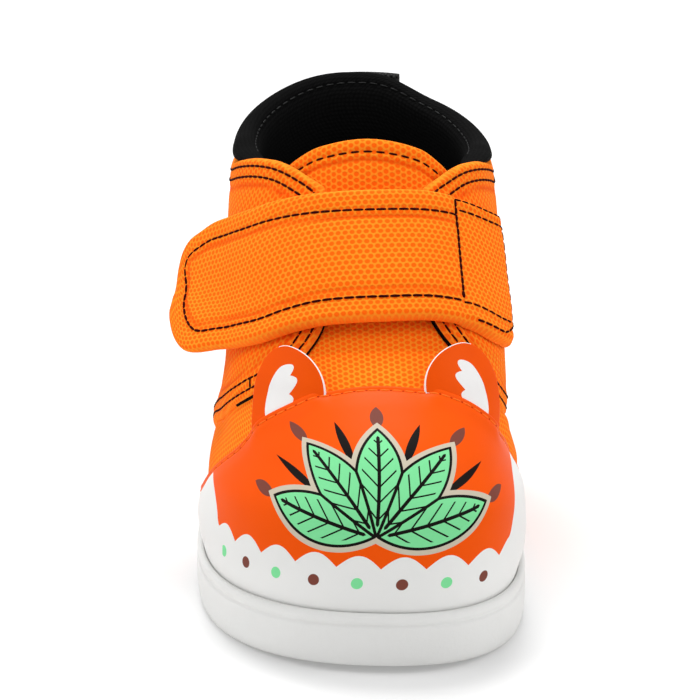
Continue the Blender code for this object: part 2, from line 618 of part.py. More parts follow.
# Pull tab: folded webbing sewn at the back of the heel
tab_angles = 180 + np.linspace(-PULL_TAB_HALF, PULL_TAB_HALF, PULL_TAB_COLUMNS)
tab_heights = np.linspace(PULL_TAB_FOOT, PULL_TAB_TOP, PULL_TAB_ROWS + 1)[:, None]
tab_levels = topline_level(180.0) + tab_heights * level_per_mm(180.0)
tab_outer = skin(tab_angles, tab_levels, STRAP_INNER + PULL_TAB_THICK)
tab_inner = skin(tab_angles, tab_levels, STRAP_INNER)
add_piece("heel_pull_tab", shell(tab_outer, tab_inner), "141414", 0.8)
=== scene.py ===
"""Looks of a toddler's strap shoe for the right foot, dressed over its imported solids.

Sizes are millimetres and degrees on the shoe's last until a piece is finished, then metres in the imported
frame.
"""

from collections import namedtuple

import bmesh
import bpy
import numpy as np
from mathutils import Matrix, Vector
from mathutils.bvhtree import BVHTree
from mathutils.kdtree import KDTree


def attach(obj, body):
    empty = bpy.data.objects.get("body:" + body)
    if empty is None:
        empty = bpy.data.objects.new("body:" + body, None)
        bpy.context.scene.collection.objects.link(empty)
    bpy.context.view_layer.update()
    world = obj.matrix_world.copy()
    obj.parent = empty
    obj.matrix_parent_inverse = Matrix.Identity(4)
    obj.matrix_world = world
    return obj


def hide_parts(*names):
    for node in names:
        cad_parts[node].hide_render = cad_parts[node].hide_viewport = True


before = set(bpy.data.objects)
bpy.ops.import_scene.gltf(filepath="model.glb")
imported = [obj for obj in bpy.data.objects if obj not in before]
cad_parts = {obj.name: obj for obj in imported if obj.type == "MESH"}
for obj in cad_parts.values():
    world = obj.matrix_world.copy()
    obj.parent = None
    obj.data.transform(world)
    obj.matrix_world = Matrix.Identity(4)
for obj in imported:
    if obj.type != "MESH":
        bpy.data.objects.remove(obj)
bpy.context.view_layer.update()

# Outsole: a white rubber cup, moulded in one piece, with a plain side wall, a fine moulded line under its
# lip and cross grooves in the tread. The upper is glued into the cup.
MM = 0.001
FRAME_SHIFT = Vector((3.27, 0.15, 0.0))     # from the last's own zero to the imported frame
TOE_SWING = 9.5                             # the toe turns to the medial side
SWING_POWER = 3.0
HEEL_SHIFT = -2.8
HEEL_Y = 70.0
SOLE_LENGTH = 140.0
RIDGE_BIAS = 2.6                            # the instep's ridge lies over the big toe side
RIDGE_BIAS_LEVEL = 0.35
HEEL_ROUND = 27.0
HEEL_POWER = 2.3
WAIST_Y = 16.0
WAIST_LENGTH = 24.0
WAIST_MEDIAL = 2.4
WAIST_LATERAL = 1.0
WAIST_LEVEL = 0.45
ALONG_POWER = 2.25
TOP_MEAN = 85.75
TOP_ENDS_RISE = 3.75
TOP_FRONT_RISE = 1.5
Level = namedtuple("Level", "level toe_y heel_y ball_y ball_half heel_half toe_power centre_x")
LEVELS = (
    Level(0.000, -65.3, 65.0, -24.0, 28.6, 23.0, 2.40, 0.0),
    Level(0.096, -66.8, 66.0, -23.0, 30.0, 24.0, 2.40, 0.0),
    Level(0.205, -65.3, 66.3, -20.0, 29.3, 24.2, 2.45, 0.0),
    Level(0.317, -59.3, 66.0, -13.0, 26.6, 23.8, 2.45, 0.2),
    Level(0.445, -44.8, 65.0, -1.0, 25.8, 23.5, 2.40, 0.7),
    Level(0.563, -29.6, 63.8, 10.0, 25.7, 23.4, 2.20, 0.7),
    Level(0.669, -21.3, 62.6, 18.0, 25.7, 23.6, 2.10, 0.1),
    Level(0.805, -11.6, 61.6, 25.0, 25.3, 23.7, 2.05, -0.3),
    Level(0.898, -7.3, 61.4, 28.0, 24.6, 23.5, 2.00, -0.5),
    Level(1.000, -3.3, 61.6, 29.0, 24.5, 23.5, 2.00, -0.5),
)
SoleStation = namedtuple("SoleStation", "y lip tread")
SOLE_STATIONS = (
    SoleStation(-70.0, 12.8, 1.7),
    SoleStation(-58.0, 11.8, 0.6),
    SoleStation(-46.0, 11.1, 0.0),
    SoleStation(-20.0, 10.6, 0.0),
    SoleStation(-8.0, 10.8, 0.0),
    SoleStation(4.0, 11.2, 1.3),
    SoleStation(18.0, 11.8, 1.3),
    SoleStation(30.0, 12.3, 0.0),
    SoleStation(62.0, 13.4, 0.0),
    SoleStation(70.0, 13.6, 0.6),
)
# The wall from the tread's edge over the lip and down into the cup: share of the height, and distance
# from the last
WallPoint = namedtuple("WallPoint", "share stand_out")
WALL_POINTS = (
    WallPoint(0.000, 3.50), WallPoint(0.012, 3.80), WallPoint(0.035, 4.05), WallPoint(0.070, 4.22),
    WallPoint(0.120, 4.34), WallPoint(0.200, 4.47), WallPoint(0.320, 4.57), WallPoint(0.450, 4.60),
    WallPoint(0.580, 4.59), WallPoint(0.700, 4.56), WallPoint(0.745, 4.54), WallPoint(0.760, 4.42),
    WallPoint(0.775, 4.28), WallPoint(0.795, 4.25), WallPoint(0.812, 4.30), WallPoint(0.828, 4.44),
    WallPoint(0.845, 4.54), WallPoint(0.890, 4.55), WallPoint(0.940, 4.50), WallPoint(0.975, 4.38),
    WallPoint(0.995, 4.14), WallPoint(1.004, 3.82), WallPoint(1.000, 3.48), WallPoint(0.985, 3.26),
    WallPoint(0.960, 3.18), WallPoint(0.760, 3.18), WallPoint(0.550, 3.18),
)
SOLE_COLUMNS = 360
TREAD_COLUMNS = 24
SOLE_LEVEL = -0.060
GROOVES_Y = (-54.0, -46.0, -38.0, -30.0, -22.0, -14.0, 36.0, 44.0, 52.0, 60.0)
GROOVE_WIDTH = 2.0
GROOVE_DEPTH = 1.2
GROOVE_MARGIN = 8.0
GROOVE_REACH = 4.0                          # mm to each side of a groove where the tread is cut for it
TREAD_TOP = 3.0
FACING_DOWN = -0.9
WELD = 1e-3
SHARP_EDGE = np.radians(35)
RUBBER_GRAIN = 0.45                         # mm, the mould's eroded grain, drawn a little coarse to show
RUBBER_MOTTLE = 14.0
GROUND_SHADE_TOP = 2.2                             # mm above the ground where the painted shade near the ground ends
COLOUR_MIX = {"out": 2, "data_type": "RGBA"}        # mixes colour input 6 with 7 by input 0


def smooth_between(places, values, at):
    """A smooth curve through a table's points that never swings past them, level beyond its ends."""
    places = np.asarray(places, float)
    values = np.asarray(values, float)
    steps = np.diff(places)
    rises = np.diff(values) / steps
    slopes = np.concatenate([rises[:1], np.zeros(len(places) - 2), rises[-1:]])
    for k in range(1, len(places) - 1):
        if rises[k - 1] * rises[k] > 0:
            before = 2 * steps[k] + steps[k - 1]
            after = steps[k] + 2 * steps[k - 1]
            slopes[k] = (before + after) / (before / rises[k - 1] + after / rises[k])
    at = np.clip(at, places[0], places[-1])
    k = np.clip(np.searchsorted(places, at, side="right") - 1, 0, len(places) - 2)
    t = (at - places[k]) / steps[k]
    start = (1 + 2 * t) * (1 - t) ** 2 * values[k] + t * (1 - t) ** 2 * steps[k] * slopes[k]
    end = t * t * (3 - 2 * t) * values[k + 1] + t * t * (t - 1) * steps[k] * slopes[k + 1]
    return start + end


def table(rows, column, at):
    """One column of a table, read at places along its first column."""
    return smooth_between([row[0] for row in rows], [getattr(row, column) for row in rows], at)


def ease(t):
    """0 to 1 with level ends."""
    t = np.clip(t, 0.0, 1.0)
    return t * t * (3 - 2 * t)


def collar_top(angle):
    turn = np.radians(angle)
    return TOP_MEAN + TOP_ENDS_RISE * np.cos(2 * turn) + TOP_FRONT_RISE * np.cos(turn)


def last_point(angle, level):
    """Points of the last: angle from the toe, positive to the medial side, and level from lip to collar."""
    angle, level = np.broadcast_arrays(np.asarray(angle, float), np.asarray(level, float))
    cosine = np.cos(np.radians(angle))
    sine = np.sin(np.radians(angle))
    ball_y = table(LEVELS, "ball_y", level)
    heel_y = table(LEVELS, "heel_y", level)
    toe_power = table(LEVELS, "toe_power", level)
    forward = np.clip(cosine, 0.0, None) ** (2 / toe_power)
    backward = np.clip(-cosine, 0.0, None) ** (2 / ALONG_POWER)
    y = ball_y - forward * (ball_y - table(LEVELS, "toe_y", level)) + backward * (heel_y - ball_y)
    into_heel = np.clip((y - heel_y + HEEL_ROUND) / HEEL_ROUND, 0.0, 1.0)
    heel_end = (1 - into_heel ** HEEL_POWER) ** (1 / HEEL_POWER)
    toe_end = np.abs(sine) ** (2 / toe_power)
    ball_half = table(LEVELS, "ball_half", level)
    half = ball_half + (table(LEVELS, "heel_half", level) - ball_half) * ease(backward)
    waist = np.where(sine > 0, WAIST_MEDIAL, WAIST_LATERAL) * np.exp(-(((y - WAIST_Y) / WAIST_LENGTH) ** 2))
    half = half - waist * (1 - ease(level / WAIST_LEVEL))
    swing = HEEL_SHIFT + TOE_SWING * np.clip((HEEL_Y - y) / SOLE_LENGTH, 0.0, None) ** SWING_POWER
    bias = RIDGE_BIAS * ease(level / RIDGE_BIAS_LEVEL) * ((1 + cosine) / 2) ** 2
    centre_x = table(LEVELS, "centre_x", level) + swing + bias
    x = half * np.sign(sine) * np.where(cosine >= 0, toe_end, heel_end) + centre_x
    lip = table(SOLE_STATIONS, "lip", y)
    return np.stack([x, y, lip + level * (collar_top(angle) - lip)], axis=-1)


def slopes(angle, level):
    """How the last's surface runs for one degree round it and for one level up it."""
    turn, climb = 0.2, 0.002
    around = (last_point(angle + turn, level) - last_point(angle - turn, level)) / (2 * turn)
    upward = (last_point(angle, level + climb) - last_point(angle, level - climb)) / (2 * climb)
    return around, upward


def skin(angle, level, offset):
    """Points at a distance from the last, along its outward normal."""
    given = (np.asarray(value, float) for value in (angle, level, offset))
    angle, level, offset = np.broadcast_arrays(*given)
    normal = np.cross(*slopes(angle, level))
    normal /= np.linalg.norm(normal, axis=-1, keepdims=True)
    return last_point(angle, level) + offset[..., None] * normal


def linear(code):
    """Linear colour of a six-digit sRGB hex value."""
    shares = [int(code[k:k + 2], 16) / 255 for k in (0, 2, 4)]
    return (*(s / 12.92 if s <= 0.04045 else ((s + 0.055) / 1.055) ** 2.4 for s in shares), 1.0)


def node(tree, kind, links=None, out=0, **settings):
    """Adds a node with its settings; links gives values or sockets by an input's name or number.

    Returns the output of a number, or the node itself where out is None.
    """
    made = tree.nodes.new(kind)
    for key, value in settings.items():
        setattr(made, key, value)
    for key, value in (links or {}).items():
        if isinstance(value, bpy.types.NodeSocket):
            tree.links.new(value, made.inputs[key])
        else:
            made.inputs[key].default_value = value
    return made if out is None else made.outputs[out]


def new_finish(name, **sockets):
    """A new material; the named sockets of its surface shader are set, with _ for a space."""
    finish = bpy.data.materials.new(name)
    finish.use_nodes = True
    surface = finish.node_tree.nodes["Principled BSDF"]
    for key, value in sockets.items():
        surface.inputs[key.replace("_", " ")].default_value = value
    return finish, finish.node_tree, surface


def finish_piece(name, bm, finishes, subdivide=1):
    """Makes the object from a bmesh in millimetres on the last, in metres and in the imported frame."""
    bmesh.ops.remove_doubles(bm, verts=bm.verts, dist=WELD)
    bmesh.ops.translate(bm, vec=FRAME_SHIFT, verts=bm.verts)
    bmesh.ops.scale(bm, vec=(MM, MM, MM), verts=bm.verts)
    bmesh.ops.recalc_face_normals(bm, faces=bm.faces)
    mesh = bpy.data.meshes.new(name)
    bm.to_mesh(mesh)
    bm.free()
    mesh.shade_smooth()
    for finish in finishes:
        mesh.materials.append(finish)
    piece = bpy.data.objects.new(name, mesh)
    bpy.context.scene.collection.objects.link(piece)
    if subdivide:
        smooth = piece.modifiers.new("smooth", "SUBSURF")
        smooth.levels = subdivide
        smooth.render_levels = subdivide
    return piece


def lay_grid(bm, columns, rows):
    """A new grid in a bmesh: its vertices, and each one's share across and up it, in rows."""
    verts = bmesh.ops.create_grid(bm, x_segments=columns, y_segments=rows, size=0.5)["verts"]
    shares = np.array([v.co[:2] for v in verts]).reshape(rows + 1, columns + 1, 2) + 0.5
    return verts, shares[..., 0], shares[..., 1]


def place_verts(verts, points):
    for vert, point in zip(verts, points.reshape(-1, 3)):
        vert.co = point


sole = bmesh.new()
wall, around_share, up_share = lay_grid(sole, SOLE_COLUMNS, len(WALL_POINTS) - 1)
wall_angle = around_share * 360
wall_row = np.rint(up_share * (len(WALL_POINTS) - 1)).astype(int)
wall_points = skin(wall_angle, SOLE_LEVEL, np.array([p.stand_out for p in WALL_POINTS])[wall_row])
lip_z = last_point(wall_angle, 0.0)[..., 2]
tread_z = table(SOLE_STATIONS, "tread", wall_points[..., 1])
wall_points[..., 2] = tread_z + np.array([p.share for p in WALL_POINTS])[wall_row] * (lip_z - tread_z)
place_verts(wall, wall_points)
half_turn = SOLE_COLUMNS // 2
for ring in (wall_points[0], wall_points[-1]):
    bed, across, _ = lay_grid(sole, TREAD_COLUMNS, half_turn)
    medial_side = ring[:half_turn + 1][:, None]
    lateral_side = ring[:half_turn - 1:-1][:, None]
    bed_points = lateral_side + across[..., None] * (medial_side - lateral_side)
    if ring is wall_points[0]:
        bed_points[..., 2] = table(SOLE_STATIONS, "tread", bed_points[..., 1])
    place_verts(bed, bed_points)
bmesh.ops.remove_doubles(sole, verts=sole.verts, dist=WELD)
bmesh.ops.dissolve_degenerate(sole, edges=sole.edges, dist=WELD)
bmesh.ops.recalc_face_normals(sole, faces=sole.faces)
tread_edge = wall_points[0]


def tread_faces(low_y, high_y):
    """Faces of the tread between two places along the shoe."""
    return [f for f in sole.faces if f.normal.z < FACING_DOWN and f.calc_center_median().z < TREAD_TOP
            and low_y < f.calc_center_median().y < high_y]


for groove_y in GROOVES_Y:
    low_y, high_y = groove_y - GROOVE_WIDTH / 2, groove_y + GROOVE_WIDTH / 2
    medial_edge, lateral_edge = tread_edge[:half_turn], tread_edge[:half_turn:-1]
    medial_x = np.interp(groove_y, medial_edge[:, 1], medial_edge[:, 0]) - GROOVE_MARGIN
    lateral_x = np.interp(groove_y, lateral_edge[:, 1], lateral_edge[:, 0]) + GROOVE_MARGIN
    for cut_at, cut_across in (((0, low_y, 0), (0, 1, 0)), ((0, high_y, 0), (0, 1, 0)),
                               ((medial_x, 0, 0), (1, 0, 0)), ((lateral_x, 0, 0), (1, 0, 0))):
        reach = 0.0 if cut_across[0] else GROOVE_REACH
        band = tread_faces(low_y - reach, high_y + reach)
        parts = list({part for f in band for part in (f, *f.edges, *f.verts)})
        bmesh.ops.bisect_plane(sole, geom=parts, plane_co=cut_at, plane_no=cut_across, dist=WELD)
    floor_faces = [f for f in tread_faces(low_y, high_y) if lateral_x < f.calc_center_median().x < medial_x]
    sunk = bmesh.ops.extrude_face_region(sole, geom=floor_faces)["geom"]
    bmesh.ops.delete(sole, geom=floor_faces, context="FACES")
    sunk_verts = [part for part in sunk if isinstance(part, bmesh.types.BMVert)]
    bmesh.ops.translate(sole, vec=(0, 0, GROOVE_DEPTH), verts=sunk_verts)

# Moulded rubber, eroded mould: matt white with a very fine grain, and painted shade making it greyer towards
# the ground
rubber, tree, surface = new_finish("moulded_rubber", Roughness=0.62, IOR=1.5, Specular_IOR_Level=0.35)
place = node(tree, "ShaderNodeTexCoord", out=3)
grain = node(tree, "ShaderNodeTexNoise",
             {"Vector": place, "Scale": 1 / (RUBBER_GRAIN * MM * 2), "Detail": 2.0})
mottle = node(tree, "ShaderNodeTexNoise", {"Vector": place, "Scale": 1 / (RUBBER_MOTTLE * MM), "Detail": 3.0})
height = node(tree, "ShaderNodeSeparateXYZ", {0: place}, out=2)
# Painted shade: the rubber is greyed towards the ground
painted_shade_low = node(tree, "ShaderNodeMapRange", {0: height, 1: 0.0, 2: GROUND_SHADE_TOP * MM, 3: 0.55, 4: 0.0},
             interpolation_type="SMOOTHSTEP")
rubber_tone = node(tree, "ShaderNodeMix", {0: mottle, 6: linear("E8E8E6"), 7: linear("DFDFDD")}, **COLOUR_MIX)
painted_shading = node(tree, "ShaderNodeMix", {0: painted_shade_low, 6: rubber_tone, 7: linear("D3D2CE")}, **COLOUR_MIX)
tree.links.new(painted_shading, surface.inputs["Base Color"])
bump = node(tree, "ShaderNodeBump", {"Height": grain, "Strength": 0.6, "Distance": 0.15 * MM})
tree.links.new(bump, surface.inputs["Normal"])
cup_sole = finish_piece("cup_sole", sole, [rubber], subdivide=0)
cup_sole.data.set_sharp_from_angle(angle=SHARP_EDGE)
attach(cup_sole, "root")
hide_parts("outsole")

# Footbed: a flat foam board in the cup, faced with black brushed cloth. It is slightly hollowed, and rounded
# along its upper edge.
CUP_DEPTH = 5.0
BED_GAP = 0.3
BED_THICK = 3.0
BED_CLEAR = -0.6
BED_HOLLOW = 0.7
BED_SLOPE = 16.0                            # mm from its edge to its full hollow
BED_ROUND = 1.5
BED_ROUND_UNDER = 0.8
NAP_FIBRE = 0.7
Grid = namedtuple("Grid", "columns rows crowd")
BED_GRID = Grid(28, 72, 0.6)
BORDER_FINE = 20                            # places measured to along each step of a border
Near = namedtuple("Near", "across up start end foot head edge")


def border_distances(points):
    """How far each point of a grid is from the grid's four borders, and from the nearest of them."""
    found = []
    for line in (np.s_[:, 0], np.s_[:, -1], np.s_[0], np.s_[-1]):
        border = points[line]
        numbers = np.arange(len(border))
        fine_at = np.linspace(0, len(border) - 1, BORDER_FINE * len(border))
        fine = np.stack([np.interp(fine_at, numbers, border[:, k]) for k in range(3)], axis=1)
        nearest = KDTree(len(fine))
        for k, point in enumerate(fine):
            nearest.insert(point, k)
        nearest.balance()
        apart = np.array([nearest.find(p)[2] for p in points.reshape(-1, 3)]).reshape(points.shape[:2])
        apart[line] = 0.0
        found.append(apart)
    return (*found, np.minimum.reduce(found))


def cloth_lengths(points):
    """Millimetres across a grid from its middle column, and up it from its first row, along the cloth."""
    across = np.linalg.norm(np.diff(points, axis=1, prepend=points[:, :1]), axis=2).cumsum(axis=1)
    up = np.linalg.norm(np.diff(points, axis=0, prepend=points[:1]), axis=2).cumsum(axis=0)
    middle = across[:, across.shape[1] // 2][:, None]
    return np.stack([across - middle, up], axis=-1)


def panel(grid, place, outside, inside, weave_at=None, crease_shade_at=None):
    """A closed piece of two faces that meet at its borders, with its cloth lengths as UV.

    The grid's crowd gathers its lines towards the borders. place turns shares across and up the piece, and
    a height, into points. outside and inside give each face's height from the distances to the borders.
    weave_at gives the cloth lengths where they don't follow the grid, and the last argument how much painted
    shade the cloth gets in its creases, 0 to 1.
    """
    bm = bmesh.new()
    weave = bm.loops.layers.uv.new("weave")
    edge_mm = bm.verts.layers.float.new("edge_mm")
    head_mm = bm.verts.layers.float.new("head_mm")
    # painted shade in the creases, read by the canvas' colour
    crease = bm.verts.layers.float.new("crease")
    faces = []
    for _ in range(2):
        verts, across, up = lay_grid(bm, grid.columns, grid.rows)
        faces.append(verts)
    across = across - grid.crowd * np.sin(2 * np.pi * across) / (2 * np.pi)
    up = up - grid.crowd * np.sin(2 * np.pi * up) / (2 * np.pi)
    middle = place(across, up, 0.0)
    near = Near(across, up, *border_distances(middle))
    lengths = (weave_at(across, up) if weave_at else cloth_lengths(middle)).reshape(-1, 2)
    crease_shade = (crease_shade_at(near) if crease_shade_at else np.zeros_like(across)).ravel()
    for side, (verts, height) in enumerate(zip(faces, (outside(near), inside(near)))):
        place_verts(verts, place(across, up, height))
        for vert, from_edge, from_head, depth in zip(verts, near.edge.ravel(), near.head.ravel(), crease_shade):
            vert[edge_mm] = from_edge
            vert[head_mm] = from_head
            vert[crease] = depth
        number = {vert: k for k, vert in enumerate(verts)}
        for face in {f for vert in verts for f in vert.link_faces}:
            face.material_index = side
            for loop in face.loops:
                loop[weave].uv = lengths[number[loop.vert]]
    return bm


def rim(distance, radius):
    """0 to 1 over a quarter round, from a border to a distance inside it."""
    return np.sqrt(1 - (1 - np.clip(distance / radius, 0.0, 1.0)) ** 2)


def bed_place(across, up, height):
    lateral, medial = (skin(sign * up * 180, SOLE_LEVEL, BED_CLEAR) for sign in (-1, 1))
    points = lateral + across[..., None] * (medial - lateral)
    floor_z = table(SOLE_STATIONS, "lip", points[..., 1]) - CUP_DEPTH + BED_GAP + BED_THICK / 2
    points[..., 2] = floor_z + height
    return points


# Brushed polyester on foam: black, matt, with a short nap that catches a little light at a slant
nap, tree, surface = new_finish("brushed_cloth", Roughness=0.95, Specular_IOR_Level=0.1, Sheen_Weight=0.08)
place = node(tree, "ShaderNodeTexCoord", out=3)
fibres = node(tree, "ShaderNodeTexNoise", {"Vector": place, "Scale": 1 / (NAP_FIBRE * MM), "Detail": 4.0})
shade = node(tree, "ShaderNodeMix", {0: fibres, 6: linear("0A0A0A"), 7: linear("1E1E1E")}, **COLOUR_MIX)
tree.links.new(shade, surface.inputs["Base Color"])
bump = node(tree, "ShaderNodeBump", {"Height": fibres, "Strength": 0.6, "Distance": 0.2 * MM})
tree.links.new(bump, surface.inputs["Normal"])
bed = panel(
    BED_GRID, bed_place,
    lambda near: BED_THICK / 2 * rim(near.edge, BED_ROUND) - BED_HOLLOW * ease(near.edge / BED_SLOPE),
    lambda near: -BED_THICK / 2 * rim(near.edge, BED_ROUND_UNDER),
)
footbed = finish_piece("footbed", bed, [nap, nap])
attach(footbed, "root")
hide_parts("insole")

# Lining: black knitted cloth on the inside of the quarters, from the footbed up to the collar, bonded to
# the canvas.
LINING_START = 40.0
LINING_FOOT = -0.045
LINING_HEAD = 0.80
LINING_OFFSET = -0.4
LINING_HALF = 0.25
LINING_ROUND = 0.5
LINING_GRID = Grid(88, 28, 0.3)
KNIT_PITCH = 0.9                            # mm between the lining's loops


def sheet_faces(half, radius):
    """Heights of the two faces of a flat sheet with rounded borders, as panel takes them."""
    return lambda near: half * rim(near.edge, radius), lambda near: -half * rim(near.edge, radius)


def lining_place(across, up, height):
    angle = LINING_START + across * (360 - 2 * LINING_START)
    return skin(angle, LINING_FOOT + up * (LINING_HEAD - LINING_FOOT), LINING_OFFSET + height)


# Warp-knitted polyester: black, dull, with small open loops in rows
knit, tree, surface = new_finish("knitted_lining", Roughness=0.95, Specular_IOR_Level=0.03)
cloth = node(tree, "ShaderNodeUVMap", uv_map="weave")
loops = node(tree, "ShaderNodeTexVoronoi", {"Vector": cloth, "Scale": 1 / KNIT_PITCH, "Randomness": 0.25})
shade = node(tree, "ShaderNodeMix", {0: loops, 6: linear("151515"), 7: linear("050505")}, **COLOUR_MIX)
tree.links.new(shade, surface.inputs["Base Color"])
bump = node(tree, "ShaderNodeBump", {"Height": loops, "Strength": 0.7, "Distance": 0.25 * MM}, invert=True)
tree.links.new(bump, surface.inputs["Normal"])
lining_cloth = panel(LINING_GRID, lining_place, *sheet_faces(LINING_HALF, LINING_ROUND))
lining = finish_piece("lining", lining_cloth, [knit, knit])
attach(lining, "root")

# Vamp and tongue: one cut of coarse orange canvas. Below the throat it is pulled over the last, above it is
# padded with foam, backed with black knit and top-stitched along its upper edge.
EdgeRow = namedtuple("EdgeRow", "level lateral medial")
QUARTER_EDGE = (
    EdgeRow(-0.10, 112.0, 111.0),
    EdgeRow(0.10, 109.0, 107.5),
    EdgeRow(0.22, 100.0, 100.5),
    EdgeRow(0.26, 94.4, 96.2),
    EdgeRow(0.28, 91.7, 94.0),
    EdgeRow(0.30, 89.5, 92.0),
    EdgeRow(0.32, 86.3, 89.3),
    EdgeRow(0.35, 79.5, 81.0),
    EdgeRow(0.40, 64.0, 64.5),
    EdgeRow(0.45, 44.5, 48.5),
    EdgeRow(0.50, 29.5, 36.5),
    EdgeRow(0.56, 20.0, 24.0),
    EdgeRow(0.61, 17.5, 19.5),
    EdgeRow(0.70, 16.0, 18.5),
    EdgeRow(0.80, 16.0, 20.0),
    EdgeRow(0.86, 18.6, 23.8),
    EdgeRow(0.90, 24.0, 29.5),
    EdgeRow(0.95, 26.0, 31.5),
)
TongueRow = namedtuple("TongueRow", "angle level")
TONGUE_TOP = (
    TongueRow(-46.0, 0.898),
    TongueRow(-34.0, 0.941),
    TongueRow(-23.0, 0.964),
    TongueRow(0.0, 0.978),
    TongueRow(25.0, 0.964),
    TongueRow(36.0, 0.938),
    TongueRow(48.0, 0.895),
)
VAMP_FOOT = -0.050
TONGUE_SIDE_TOP = 0.88
VAMP_UNDER = 5.0                            # degrees that the vamp goes under the quarters
TONGUE_UNDER_LATERAL = 21.0
TONGUE_UNDER_MEDIAL = 18.0
THROAT_END = 0.44
THROAT_BLEND = 0.07
VAMP_MIDDLE = 0.72
VAMP_HALF = 0.66
TONGUE_MIDDLE = -0.2
TONGUE_HALF = 1.35
TONGUE_CROWN = 0.2
TONGUE_CROWN_WITHIN = 9.0
TONGUE_ROUND = 1.5
VAMP_FULL = (0.3, 1.6)                      # mm that its lateral and medial sides swell below the quarters
FULL_FROM = 58.0                            # degrees from the toe
FULL_WITHIN = 16.0
FULL_LEVEL = 0.12                           # level where the swell is whole, from nothing at the sole
FULL_UNDER = 1.5                            # mm that it reaches under the quarter's edge
FULL_RISE = 2.5
FULL_DOWN = 6.0                             # mm below that edge where it begins to fade
FULL_FADE = 5.0
EDGE_STEPS = 60
VAMP_GRID = Grid(72, 92, 0.7)
Press = namedtuple("Press", "at deep width")        # a line pressed into cloth, at a distance from its border
TONGUE_ROW = 2.9                            # mm from the tongue's upper edge to its stitches
TONGUE_PRESSED = (Press(TONGUE_ROW, 0.32, 0.45), Press(TONGUE_ROW + 0.9, -0.10, 0.40))
TONGUE_CREASE = Press(TONGUE_ROW + 1.7, 0.45, 0.45)
TONGUE_ROW_SUNK = 0.15
TONGUE_ROW_POINTS = 160
Stitch = namedtuple("Stitch", "length gap thick")
TONGUE_STITCH = Stitch(1.75, 0.80, 0.50)
ROW_STEP = 0.25                             # mm between the points of a row's path
ROW_ROUND = 1.5                             # mm over which a row's corners are rounded
SEW_REACH = 8.0                             # mm to look for the cloth under a row of stitches
STITCH_BLUNT = 0.55                         # below 1, a stitch keeps its thickness nearly to its ends
STITCH_SIDES = 8
STITCH_RINGS = 6
HOLE_RINGS = 4
HOLE_RISE = 0.05
CANVAS_PITCH = 1.33                         # mm between dimples along a row
CANVAS_ROW = 1.12                           # mm between rows, each half a pitch along from the one before
CANVAS_WANDER = 2.6                         # mm between the bends of a thread
CANVAS_SLUB = 9.0
CANVAS_FUZZ = 0.35
CANVAS_EDGE_HIGHLIGHT = (0.1, 0.9)                    # mm from a folded edge where its painted highlight fades out
THREAD_PLY = 0.5


def wall_lengths(start, angle, level):
    """Millimetres of cloth cut with its rows upright: up the last at one angle, and round it from there."""
    angles = np.linspace(-180, 180, 181)
    levels = np.linspace(-0.1, 1.1, 61)
    wall = last_point(angles[None, :], levels[:, None])
    around = np.linalg.norm(np.diff(wall, axis=1, prepend=wall[:, :1]), axis=2).cumsum(axis=1)
    upward = np.linalg.norm(np.diff(wall, axis=0, prepend=wall[:1]), axis=2).cumsum(axis=0)
    column = np.abs(angles - start).argmin()
    turn = np.interp(angle, angles, np.arange(len(angles)))
    climb = np.interp(level, levels, np.arange(len(levels)))
    j = np.minimum(turn.astype(int), len(angles) - 2)
    i = np.minimum(climb.astype(int), len(levels) - 2)
    around = around - around[:, column][:, None]
    low = around[i, j] + (turn - j) * (around[i, j + 1] - around[i, j])
    high = around[i + 1, j] + (turn - j) * (around[i + 1, j + 1] - around[i + 1, j])
    risen = np.interp(level, levels, upward[:, column])
    return np.stack([risen, low + (climb - i) * (high - low)], axis=-1)


def quarter_edge(level):
    """Signed angles of the quarters' front edges."""
    return -table(QUARTER_EDGE, "lateral", level), table(QUARTER_EDGE, "medial", level)


def vamp_sides(level):
    """Angles of the vamp's and tongue's sides, under the quarters."""
    lateral, medial = quarter_edge(level)
    risen = ease(level / THROAT_END)
    return (lateral - VAMP_UNDER - (TONGUE_UNDER_LATERAL - VAMP_UNDER) * risen,
            medial + VAMP_UNDER + (TONGUE_UNDER_MEDIAL - VAMP_UNDER) * risen)


def vamp_lay(across, up):
    side_level = VAMP_FOOT + up * (TONGUE_SIDE_TOP - VAMP_FOOT)
    lateral, medial = vamp_sides(side_level)
    end_lateral, end_medial = vamp_sides(TONGUE_SIDE_TOP)
    angle = lateral + across * (medial - lateral)
    head = table(TONGUE_TOP, "level", end_lateral + across * (end_medial - end_lateral))
    return angle, VAMP_FOOT + up * (head - VAMP_FOOT)


def padded_share(level):
    """0 on the vamp, 1 on the padded tongue."""
    return ease((level - THROAT_END) / THROAT_BLEND)


def vamp_place(across, up, height):
    angle, level = vamp_lay(across, up)
    return skin(angle, level, VAMP_MIDDLE + (TONGUE_MIDDLE - VAMP_MIDDLE) * padded_share(level) + height)


def pressed_line(distance, line):
    """1 in the middle of a pressed line, fading to each side."""
    return np.exp(-(((distance - line.at) / line.width) ** 2))


def pressed_in(distance, lines):
    """How deep lines are pressed into the cloth, at distances from its border."""
    return sum(line.deep * pressed_line(distance, line) for line in lines)


def vamp_crease(near):
    padded = padded_share(vamp_lay(near.across, near.up)[1])
    return padded * pressed_line(near.head, TONGUE_CREASE)


def wall_height(angle):
    """Millimetres from the sole's lip up to the last's top, at an angle."""
    return collar_top(angle) - last_point(angle, 0.0)[..., 2]


